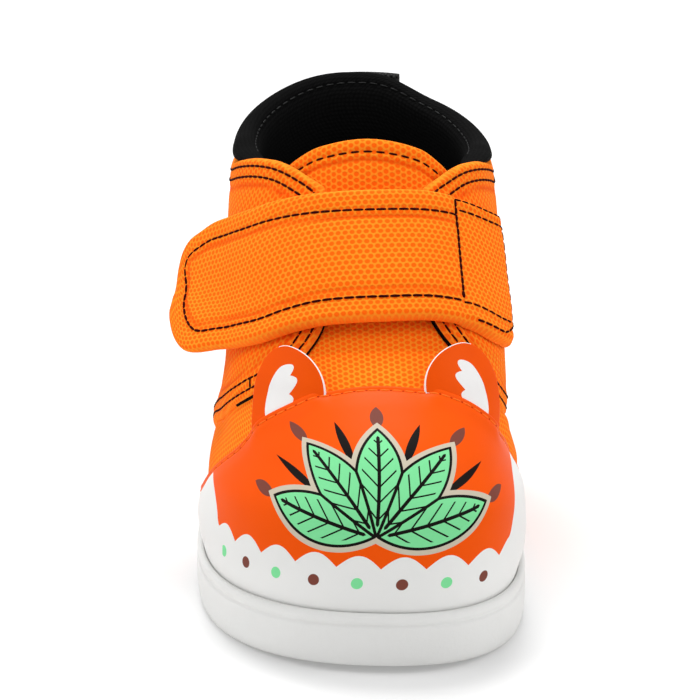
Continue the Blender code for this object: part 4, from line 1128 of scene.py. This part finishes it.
# Ear tabs: two rounded flaps of the cap's leather, doubled, caught in the cap's seam and leaning off the
# vamp. The cut edge shows the white backing.
EAR_ROOT = -0.012
EAR_INNER = 1.9
EAR_LEAN = 5.6
EAR_HALF = 0.5
EAR_ROUND = 0.998
EAR_POWER = 1.7
EAR_TURN = 6.5                              # degrees that each tab's tip turns in, to the shoe's middle
EAR_CUT = 0.3                               # mm of cut edge, rounded and white
EAR_CUT_WITHIN = 1.5                        # mm out from a tab's middle, past which the edge is orange
EAR_LACQUER = 9.0
EAR_GRID = Grid(30, 30, 0.8)
INSET_HALF = (3.0, 5.6)
INSET_UP = 4.2
INSET_ASIDE = (2.4, 1.0)                    # mm out from a tab's middle, at the inset's foot and at its head
INSET_HEAD = 8.0
LOBE_PITCH = 3.5                            # mm between the lobes on the inset's inner side
LOBE_OUT = 1.6


def ear_place(ear, across, up, height):
    width = (1 - (EAR_ROUND * up) ** EAR_POWER) ** (1 / EAR_POWER)
    angle = ear.centre + ear.half_width * width * (2 * across - 1) - np.sign(ear.centre) * EAR_TURN * up
    foot = table(CAP_EDGE, "level", angle) + EAR_ROOT
    return skin(angle, foot + up * (ear.peak - foot), EAR_INNER + EAR_HALF + EAR_LEAN * up + height)


# Coated leather as on the cap: orange face with a white inset, lobed on its inner side, and a white cut edge
ear_leather, tree, surface = new_finish("coated_leather_tab", Roughness=0.42, Specular_IOR_Level=0.05)
cloth = node(tree, "ShaderNodeUVMap", uv_map="weave")
spot = node(tree, "ShaderNodeSeparateXYZ", {0: cloth}, out=None)
place = node(tree, "ShaderNodeTexCoord", out=3)
side = node(tree, "ShaderNodeSeparateXYZ", {0: place}, out=0)
side = node(tree, "ShaderNodeMath", {0: side}, operation="SIGN")
outward = node(tree, "ShaderNodeMath", {0: spot.outputs[0], 1: side}, operation="MULTIPLY")
lean = node(tree, "ShaderNodeMapRange",
            {0: spot.outputs[1], 1: 0.0, 2: INSET_HEAD, 3: INSET_ASIDE[0], 4: INSET_ASIDE[1]},
            interpolation_type="SMOOTHSTEP")
from_lean = node(tree, "ShaderNodeMath", {0: outward, 1: lean}, operation="SUBTRACT")
from_middle = node(tree, "ShaderNodeMath", {0: spot.outputs[1], 1: INSET_UP}, operation="SUBTRACT")
lobe = node(tree, "ShaderNodeMath", {0: spot.outputs[1], 1: np.pi / LOBE_PITCH}, operation="MULTIPLY")
lobe = node(tree, "ShaderNodeMath", {0: lobe}, operation="SINE")
lobe = node(tree, "ShaderNodeMath", {0: lobe}, operation="ABSOLUTE")
lobe = node(tree, "ShaderNodeMath", {0: lobe, 1: LOBE_OUT / 2}, operation="MULTIPLY")
aside = node(tree, "ShaderNodeMath", {0: from_lean, 1: lobe}, operation="ADD")
half = node(tree, "ShaderNodeMath", {0: lobe, 1: INSET_HALF[0]}, operation="ADD")
aside = node(tree, "ShaderNodeMath", {0: aside, 1: half}, operation="DIVIDE")
upright = node(tree, "ShaderNodeMath", {0: from_middle, 1: INSET_HALF[1]}, operation="DIVIDE")
inset = node(tree, "ShaderNodeCombineXYZ", {0: aside, 1: upright})
inset = node(tree, "ShaderNodeVectorMath", {0: inset}, out=1, operation="LENGTH")
inset = node(tree, "ShaderNodeMath", {0: inset, 1: 1.0}, operation="LESS_THAN")
border = node(tree, "ShaderNodeAttribute", out=2, attribute_name="edge_mm")
cut = node(tree, "ShaderNodeMath", {0: border, 1: EAR_CUT}, operation="LESS_THAN")
inner = node(tree, "ShaderNodeMath", {0: outward, 1: EAR_CUT_WITHIN}, operation="LESS_THAN")
cut = node(tree, "ShaderNodeMath", {0: cut, 1: inner}, operation="MULTIPLY")
white = node(tree, "ShaderNodeMath", {0: inset, 1: cut}, operation="MAXIMUM")
lacquer = node(tree, "ShaderNodeTexNoise", {"Vector": cloth, "Scale": 1 / EAR_LACQUER, "Detail": 2.0})
orange = node(tree, "ShaderNodeMix", {0: lacquer, 6: bright, 7: deep}, **COLOUR_MIX)
shade = node(tree, "ShaderNodeMix", {0: white, 6: orange, 7: linear("F0EFEE")}, **COLOUR_MIX)
tree.links.new(shade, surface.inputs["Base Color"])
pebble = node(tree, "ShaderNodeTexVoronoi", {"Vector": cloth, "Scale": 1 / LEATHER_PEBBLE},
              feature="SMOOTH_F1")
bump = node(tree, "ShaderNodeBump", {"Height": pebble, "Strength": 0.12, "Distance": 0.1 * MM})
tree.links.new(bump, surface.inputs["Normal"])

for ear in EARS:
    ear_flap = panel(
        EAR_GRID, lambda across, up, height: ear_place(ear, across, up, height),
        *sheet_faces(EAR_HALF, EAR_CUT),
    )
    flap = finish_piece(ear.name, ear_flap, [ear_leather, ear_leather])
    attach(flap, "root")
    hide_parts(ear.node)

# Collar: foam rolled in black knitted cloth, turned over the quarters' top edge and quilted to the lining
# by one row of stitches inside the roll.
CollarPoint = namedtuple("CollarPoint", "offset height")
COLLAR_SECTION = (
    CollarPoint(-1.6, -15.0),
    CollarPoint(-2.6, -11.0),
    CollarPoint(-3.2, -6.0),
    CollarPoint(-3.3, -1.0),
    CollarPoint(-2.9, 2.6),
    CollarPoint(-2.1, 4.3),
    CollarPoint(-1.75, 4.8),
    CollarPoint(-1.8, 5.4),
    CollarPoint(-0.9, 6.6),
    CollarPoint(0.3, 7.0),
    CollarPoint(1.7, 6.4),
    CollarPoint(2.8, 4.8),
    CollarPoint(3.1, 2.8),
    CollarPoint(2.8, 1.2),
    CollarPoint(2.2, 0.5),
    CollarPoint(1.3, 0.1),
    CollarPoint(1.35, -5.0),
    CollarPoint(0.9, -12.0),
    CollarPoint(-0.4, -15.6),
)
CollarRow = namedtuple("CollarRow", "angle gap rise drop full")
COLLAR_ROWS = (
    CollarRow(42.0, -2.6, 0.05, 0.75, 0.30),
    CollarRow(54.0, -2.0, 0.08, 0.90, 0.45),
    CollarRow(64.0, -0.9, 0.14, 1.00, 0.75),
    CollarRow(74.0, 0.0, 0.30, 1.00, 1.00),
    CollarRow(90.0, 0.3, 0.62, 1.00, 1.00),
    CollarRow(120.0, 0.3, 0.54, 1.00, 1.00),
    CollarRow(150.0, 0.3, 0.50, 1.00, 1.00),
    CollarRow(180.0, 0.3, 0.98, 1.00, 1.00),
    CollarRow(210.0, 0.3, 1.05, 1.00, 1.00),
    CollarRow(240.0, 0.3, 1.03, 1.00, 1.00),
    CollarRow(270.0, 0.3, 0.84, 1.00, 1.00),
    CollarRow(286.0, 0.0, 0.36, 1.00, 1.00),
    CollarRow(296.0, -0.9, 0.16, 1.00, 0.75),
    CollarRow(306.0, -2.0, 0.08, 0.90, 0.45),
    CollarRow(318.0, -2.6, 0.05, 0.75, 0.30),
)
COLLAR_START = 42.0
COLLAR_END = 318.0
COLLAR_THIN_AT = 0.9                        # offset that the roll thins towards at its two ends
COLLAR_STATIONS = 84
TOPLINE_EDGE_LEVEL = 0.90
COLLAR_SEAM = (76.0, 284.0)                 # degrees between which the roll's seam runs
COLLAR_SEAM_POINTS = 600
COLLAR_SEAM_HEIGHT = 4.8
COLLAR_SEAM_OFFSET = -1.85
COLLAR_STITCH = Stitch(1.80, 0.60, 0.45)


def topline_level(angle):
    """Level of the quarters' top edge at an angle counted from 0 to 360."""
    lateral, medial = quarter_edge(TOPLINE_EDGE_LEVEL)
    edge = np.where(angle > 180, -lateral, medial)
    return table(QUARTER_TOPLINE, "level", (np.minimum(angle, 360 - angle) - edge) / (180 - edge))


def level_per_mm(angle):
    """Share of the last's height that one millimetre takes, at an angle."""
    return 1 / wall_height(angle)


def collar_level(angle, height):
    scale = np.where(height > 0, table(COLLAR_ROWS, "rise", angle), table(COLLAR_ROWS, "drop", angle))
    return topline_level(angle) + (table(COLLAR_ROWS, "gap", angle) + height * scale) * level_per_mm(angle)


collar_roll = bmesh.new()
weave = collar_roll.loops.layers.uv.new("weave")
roll, around_share, along_share = lay_grid(collar_roll, len(COLLAR_SECTION), COLLAR_STATIONS)
section = np.rint(around_share * len(COLLAR_SECTION)).astype(int) % len(COLLAR_SECTION)
roll_angle = COLLAR_START + along_share * (COLLAR_END - COLLAR_START)
roll_level = collar_level(roll_angle, np.array([p.height for p in COLLAR_SECTION])[section])
roll_offset = np.array([p.offset for p in COLLAR_SECTION])[section] - COLLAR_THIN_AT
roll_offset = COLLAR_THIN_AT + roll_offset * table(COLLAR_ROWS, "full", roll_angle)
roll_points = skin(roll_angle, roll_level, roll_offset)
place_verts(roll, roll_points)
lengths = cloth_lengths(roll_points).reshape(-1, 2)
number = {vert: k for k, vert in enumerate(roll)}
for face in collar_roll.faces:
    for loop in face.loops:
        loop[weave].uv = lengths[number[loop.vert]]
bmesh.ops.remove_doubles(collar_roll, verts=collar_roll.verts, dist=WELD)
bmesh.ops.holes_fill(collar_roll, edges=[e for e in collar_roll.edges if e.is_boundary], sides=0)
collar = finish_piece("collar_roll", collar_roll, [knit], subdivide=2)
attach(collar, "root")
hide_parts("collar")

# Polyester thread dyed black: a low gloss picks out each stitch on the black cloth
black_thread, tree, surface = new_finish("black_sewing_thread", Roughness=0.55, Specular_IOR_Level=0.15)
place = node(tree, "ShaderNodeTexCoord", out=3)
ply = node(tree, "ShaderNodeTexNoise", {"Vector": place, "Scale": 1 / (THREAD_PLY * MM), "Detail": 2.0})
shade = node(tree, "ShaderNodeMix", {0: ply, 6: linear("0C0C0C"), 7: linear("1E1E1E")}, **COLOUR_MIX)
tree.links.new(shade, surface.inputs["Base Color"])
seam_angle = np.linspace(*COLLAR_SEAM, COLLAR_SEAM_POINTS)
seam_level = collar_level(seam_angle, np.full_like(seam_angle, COLLAR_SEAM_HEIGHT))
collar_row = laid(seam_angle, seam_level, COLLAR_SEAM_OFFSET)
collar_stitches = sew("collar_stitches", [collar_row], None, COLLAR_STITCH, black_thread)
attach(collar_stitches, "root")

# Strap: a wide band of the same canvas, folded round thin foam and sewn all round inside its edge. It is
# sewn down on the medial quarter, crosses the tongue and closes on the lateral side with its end free.
StrapRow = namedtuple("StrapRow", "angle low high lift thick skew tilt")
STRAP_ROWS = (
    StrapRow(-88.0, 0.452, 0.690, 8.6, 3.0, 0.0, 1.1),
    StrapRow(-79.0, 0.459, 0.724, 5.0, 3.0, 0.0, 0.8),
    StrapRow(-70.0, 0.478, 0.765, 2.0, 3.0, 0.0, 0.4),
    StrapRow(-60.0, 0.495, 0.788, 0.3, 3.0, 0.0, 0.0),
    StrapRow(-46.0, 0.513, 0.810, 0.0, 3.0, 0.0, 0.0),
    StrapRow(-32.0, 0.535, 0.828, 0.0, 3.0, 0.0, 0.0),
    StrapRow(-17.0, 0.553, 0.840, 0.0, 3.0, 0.0, 0.0),
    StrapRow(0.0, 0.562, 0.846, 0.0, 3.0, 0.0, 0.0),
    StrapRow(17.0, 0.566, 0.848, 0.0, 3.0, 0.0, 0.0),
    StrapRow(33.0, 0.558, 0.838, 0.0, 2.9, 0.0, 0.0),
    StrapRow(53.0, 0.524, 0.813, 0.0, 3.2, 1.0, 0.0),
    StrapRow(70.0, 0.497, 0.790, 0.0, 3.5, 3.0, 0.0),
)
STRAP_INNER = 3.4
STRAP_END_TURN = 9.0
STRAP_CORNER = 0.090
STRAP_CORNER_END = 0.985
STRAP_GRID = Grid(128, 48, 0.8)
STRAP_ROUND = 1.7
STRAP_ROUND_UNDER = 1.3
STRAP_CROWN = 0.35
STRAP_CROWN_WITHIN = 11.0
STRAP_LENGTH = 96.5
STRAP_ROW = 4.5                             # mm from the strap's edge to its stitches
STRAP_CREASE = Press(STRAP_ROW + 1.7, 0.50, 0.45)
STRAP_PRESSED = (Press(STRAP_ROW, 0.30, 0.45), Press(STRAP_ROW + 0.8, -0.12, 0.40), STRAP_CREASE)
STRAP_FADE = 1.5                            # mm from the border to the full depth of pressed lines
STRAP_SEAM = 0.239                          # share of the length from the sewn end to the cross seam
SEAM_PRESSED = Press(STRAP_SEAM * STRAP_LENGTH, 0.35, 0.60)
SEAM_ENDS = (0.17, 0.95)                    # shares of the width
SEAM_BLEND = 2.5                            # mm over which the base turns into the padded length
BASE_PRESSED_HEAD = (Press(0.9, 0.20, 0.40), Press(2.8, 0.20, 0.40), Press(4.1, 0.16, 0.50))
BASE_PRESSED_FOOT = (Press(0.8, 0.20, 0.40), Press(3.0, 0.20, 0.40))
BASE_LOWER = 0.1
BASE_END_THIN = 0.6                         # share of its thickness that the sewn end keeps
BASE_END_WITHIN = 6.0
# Corners of the base's rows, as shares across the strap from its sewn end and up its width
BASE_ROWS = (
    ((STRAP_SEAM, 0.955), (0.020, 0.955)),
    ((STRAP_SEAM - 0.01, 0.870), (0.020, 0.870)),
    ((STRAP_SEAM, 0.14), (0.065, 0.125)),
    ((0.20, 0.036), (0.09, 0.034), (0.016, 0.15), (0.016, 0.86)),
)
ROW_POINTS = 80                             # for each corner of a row
HEM_POINTS = 500
HEM_END_POINTS = 120
HEM_ROUND = 3.0
HEM_STITCH = Stitch(2.10, 0.16, 0.58)
SEAM_STITCH = Stitch(1.50, 0.02, 0.75)
BASE_STITCH = Stitch(1.90, 0.30, 0.50)


def strap_lay(across, up):
    """Angle, level and middle offset of the strap: across from its sewn end to its free end, up its width."""
    free = STRAP_ROWS[0].angle + STRAP_END_TURN * (1 - STRAP_CORNER_END)
    angle = STRAP_ROWS[-1].angle + across * (free - STRAP_ROWS[-1].angle)
    into_end = np.clip((STRAP_ROWS[0].angle + STRAP_END_TURN - angle) / STRAP_END_TURN, 0.0, STRAP_CORNER_END)
    corner = STRAP_CORNER * (1 - np.sqrt(1 - into_end ** 2))
    low = table(STRAP_ROWS, "low", angle) + corner
    high = table(STRAP_ROWS, "high", angle) - corner
    offset = STRAP_INNER + table(STRAP_ROWS, "lift", angle) + table(STRAP_ROWS, "thick", angle) / 2
    aslant = 1 - 2 * up
    offset = offset + aslant * table(STRAP_ROWS, "tilt", angle)
    return angle + aslant * table(STRAP_ROWS, "skew", angle), low + up * (high - low), offset


def strap_place(across, up, height):
    angle, level, offset = strap_lay(across, up)
    return skin(angle, level, offset + height)


def strap_base(near):
    """1 on the sewn-down base of the strap, 0 on its padded length, and the strap's half thickness."""
    base = 1 - ease((near.across - STRAP_SEAM) * STRAP_LENGTH / SEAM_BLEND + 0.5)
    return base, table(STRAP_ROWS, "thick", strap_lay(near.across, near.up)[0]) / 2


def strap_hem(near):
    return np.minimum(np.minimum(near.foot, near.head), near.end)


# Painted shade in the crease beside the strap's hem, on its padded length
def strap_crease_shade(near):
    return (1 - strap_base(near)[0]) * pressed_line(strap_hem(near), STRAP_CREASE)


def strap_outside(near):
    base, half = strap_base(near)
    fold = pressed_in(strap_hem(near), STRAP_PRESSED)
    sewn = pressed_in(near.head, BASE_PRESSED_HEAD) + pressed_in(near.foot, BASE_PRESSED_FOOT)
    seam = pressed_in(near.across * STRAP_LENGTH, [SEAM_PRESSED])
    rows = (fold * (1 - base) + sewn * base + seam) * ease(near.edge / STRAP_FADE)
    end = BASE_END_THIN + (1 - BASE_END_THIN) * ease(near.start / BASE_END_WITHIN)
    full = 2 * half * end - BASE_LOWER * base
    top = full - half + STRAP_CROWN * ease(near.edge / STRAP_CROWN_WITHIN) * (1 - base) - rows
    return -half * base + (top + half * base) * rim(near.edge, STRAP_ROUND)


def strap_inside(near):
    base, half = strap_base(near)
    return -half * base - half * (1 - base) * rim(near.edge, STRAP_ROUND_UNDER)


def strap_row(*corners):
    """A row of stitches through corners given as shares across and up the strap."""
    run = np.linspace(0, len(corners) - 1, ROW_POINTS * len(corners))
    across, up = (np.interp(run, np.arange(len(corners)), column) for column in zip(*corners))
    angle, level, offset = strap_lay(across, up)
    return laid(angle, level, offset + table(STRAP_ROWS, "thick", angle) / 2)


strap_band = panel(STRAP_GRID, strap_place, strap_outside, strap_inside, crease_shade_at=strap_crease_shade)
strap = finish_piece("strap_band", strap_band, [canvas, canvas])
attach(strap, "root")
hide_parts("strap")

along = np.linspace(STRAP_SEAM, 1.0, HEM_POINTS)
free_end = np.linspace(0.0, 1.0, HEM_END_POINTS)[1:-1]
hem_across = np.concatenate([along, np.ones_like(free_end), along[::-1]])
hem_up = np.concatenate([np.zeros_like(along), free_end, np.ones_like(along)])
hem_row = inset_path(*strap_lay(hem_across, hem_up), -STRAP_ROW, HEM_ROUND)
strap_stitches = sew("strap_stitches", [hem_row], strap, HEM_STITCH, dark_thread)
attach(strap_stitches, "root")
seam_row = strap_row(*((STRAP_SEAM, up) for up in SEAM_ENDS))
seam_stitches = sew("strap_seam_stitches", [seam_row], strap, SEAM_STITCH, dark_thread)
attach(seam_stitches, "root")
base_rows = [strap_row(*corners) for corners in BASE_ROWS]
base_stitches = sew("strap_base_stitches", base_rows, strap, BASE_STITCH, dark_thread)
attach(base_stitches, "root")

# Hook tape: a short nylon ribbon fixed under the strap's free end, to hold it down on the lateral side of
# the shoe.
HOOK_HALF = 0.35
HOOK_ROUND = 0.4
HOOK_FROM = 0.885                           # shares of the strap's length and width
HOOK_LENGTH = 0.095
HOOK_LOW = 0.20
HOOK_WIDTH = 0.60
HOOK_PITCH = 0.9
HOOK_GRID = Grid(16, 20, 0.6)


def hook_place(across, up, height):
    angle, level, offset = strap_lay(HOOK_FROM + HOOK_LENGTH * across, HOOK_LOW + HOOK_WIDTH * up)
    return skin(angle, level, offset - table(STRAP_ROWS, "thick", angle) / 2 - HOOK_HALF + height)


# Woven nylon with moulded hooks: stiff and black, the rows of tiny hooks read as a rough nap
hooks, tree, surface = new_finish("nylon_hook_tape", Roughness=0.55)
cloth = node(tree, "ShaderNodeUVMap", uv_map="weave")
hook = node(tree, "ShaderNodeTexVoronoi", {"Vector": cloth, "Scale": 1 / HOOK_PITCH, "Randomness": 0.15})
shade = node(tree, "ShaderNodeMix", {0: hook, 6: linear("2E2E2E"), 7: linear("0B0B0B")}, **COLOUR_MIX)
tree.links.new(shade, surface.inputs["Base Color"])
bump = node(tree, "ShaderNodeBump", {"Height": hook, "Strength": 1.0, "Distance": 0.4 * MM}, invert=True)
tree.links.new(bump, surface.inputs["Normal"])
hook_ribbon = panel(HOOK_GRID, hook_place, *sheet_faces(HOOK_HALF, HOOK_ROUND))
hook_tape = finish_piece("hook_tape", hook_ribbon, [hooks, hooks])
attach(hook_tape, "root")

# Pull tab: black nylon webbing folded double and sewn to the back of the heel over the closing seam, with
# stitches in a box.
TAB_HALF = 11.5
TAB_FOOT = -15.0
TAB_TOP = 6.4
TAB_INNER = 3.4
TAB_THICK = 2.0
TAB_ROUND = 0.8
TAB_GRID = Grid(18, 34, 0.6)
TAB_BOX = ((0.18, 0.08), (0.82, 0.08), (0.82, 0.52), (0.18, 0.52), (0.18, 0.08))    # shares across and up
TAB_BOX_POINTS = 400
TAB_STITCH = Stitch(1.60, 0.50, 0.42)
RIB_PITCH = 1.3


def tab_lay(across, up):
    level = topline_level(180.0) + (TAB_FOOT + up * (TAB_TOP - TAB_FOOT)) * level_per_mm(180.0)
    return 180 + TAB_HALF * (2 * across - 1), level


def tab_place(across, up, height):
    return skin(*tab_lay(across, up), TAB_INNER + TAB_THICK / 2 + height)


# Nylon webbing, plain woven: black with a low gloss, ribs across it
webbing, tree, surface = new_finish("nylon_webbing", Roughness=0.6, Specular_IOR_Level=0.2)
cloth = node(tree, "ShaderNodeUVMap", uv_map="weave")
spot = node(tree, "ShaderNodeSeparateXYZ", {0: cloth}, out=None)
rib = node(tree, "ShaderNodeMath", {0: spot.outputs[1], 1: 2 * np.pi / RIB_PITCH}, operation="MULTIPLY")
rib = node(tree, "ShaderNodeMath", {0: rib}, operation="SINE")
end = node(tree, "ShaderNodeMath", {0: spot.outputs[0], 1: 2 * np.pi / RIB_PITCH}, operation="MULTIPLY")
end = node(tree, "ShaderNodeMath", {0: end}, operation="SINE")
relief = node(tree, "ShaderNodeMath", {0: rib, 1: end}, operation="MULTIPLY")
shade = node(tree, "ShaderNodeMapRange", {0: relief, 1: -1.0, 2: 1.0, 3: 0.0, 4: 1.0})
shade = node(tree, "ShaderNodeMix", {0: shade, 6: linear("0A0A0A"), 7: linear("262626")}, **COLOUR_MIX)
tree.links.new(shade, surface.inputs["Base Color"])
bump = node(tree, "ShaderNodeBump", {"Height": relief, "Strength": 0.8, "Distance": 0.2 * MM})
tree.links.new(bump, surface.inputs["Normal"])
tab_ribbon = panel(TAB_GRID, tab_place, *sheet_faces(TAB_THICK / 2, TAB_ROUND))
pull_tab = finish_piece("pull_tab", tab_ribbon, [webbing, webbing])
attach(pull_tab, "root")
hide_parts("heel_pull_tab")
tab_run = np.linspace(0.0, len(TAB_BOX) - 1, TAB_BOX_POINTS)
tab_across, tab_up = (np.interp(tab_run, np.arange(len(TAB_BOX)), shares) for shares in zip(*TAB_BOX))
tab_row = laid(*tab_lay(tab_across, tab_up), TAB_INNER + TAB_THICK)
tab_stitches = sew("pull_tab_stitches", [tab_row], pull_tab, TAB_STITCH, black_thread)
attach(tab_stitches, "root")

# Stage: a pale floor under soft studio light, and the camera where the photograph's stood, turned to this
# shoe.
CAMERA_PLACE = Vector((39.27, -667.39, 257.0)) * MM
CAMERA_AIM = Vector((0.0, 0.0, 43.0)) * MM
PHOTO_FOCUS = 2895.0                        # focal length of the photograph, in its own pixels
ENLARGED = 1.17
FRAME_PIXELS = 700.0
SENSOR = 36.0
FLOOR_HALF = 4.0
paper, tree, surface = new_finish("white_paper", Roughness=0.9, Specular_IOR_Level=0.1)
surface.inputs["Base Color"].default_value = linear("DADADA")
surface.inputs["Emission Color"].default_value = (1.0, 1.0, 1.0, 1.0)
surface.inputs["Emission Strength"].default_value = 0.16
floor_grid = bmesh.new()
bmesh.ops.create_grid(floor_grid, x_segments=1, y_segments=1, size=FLOOR_HALF)
floor_mesh = bpy.data.meshes.new("floor")
floor_grid.to_mesh(floor_mesh)
floor_grid.free()
floor_mesh.materials.append(paper)
floor = bpy.data.objects.new("floor", floor_mesh)
bpy.context.scene.collection.objects.link(floor)

world = bpy.data.worlds.new("studio")
bpy.context.scene.world = world
world.use_nodes = True
world.node_tree.nodes["Background"].inputs["Color"].default_value = (1.0, 1.0, 1.0, 1.0)
world.node_tree.nodes["Background"].inputs["Strength"].default_value = 0.55
Softbox = namedtuple("Softbox", "name place size power")
for box in (Softbox("key", (-1.0, -0.25, 0.9), 0.8, 4.6), Softbox("fill", (1.0, -0.25, 0.9), 0.8, 4.6),
            Softbox("top", (-0.1, 0.45, 1.2), 0.5, 12.0)):
    light = bpy.data.lights.new(box.name, "AREA")
    light.size = box.size
    light.energy = box.power
    lamp = bpy.data.objects.new(box.name, light)
    lamp.location = box.place
    lamp.rotation_euler = (CAMERA_AIM - Vector(box.place)).to_track_quat("-Z", "Y").to_euler()
    bpy.context.scene.collection.objects.link(lamp)
bpy.context.scene.view_settings.view_transform = "Standard"

camera_data = bpy.data.cameras.new("camera")
camera_data.sensor_width = SENSOR
camera_data.lens = SENSOR * PHOTO_FOCUS * ENLARGED / FRAME_PIXELS
camera = bpy.data.objects.new("camera", camera_data)
camera.location = CAMERA_PLACE
camera.rotation_euler = (CAMERA_AIM - CAMERA_PLACE).to_track_quat("-Z", "Y").to_euler()
bpy.context.scene.collection.objects.link(camera)
bpy.context.scene.camera = camera
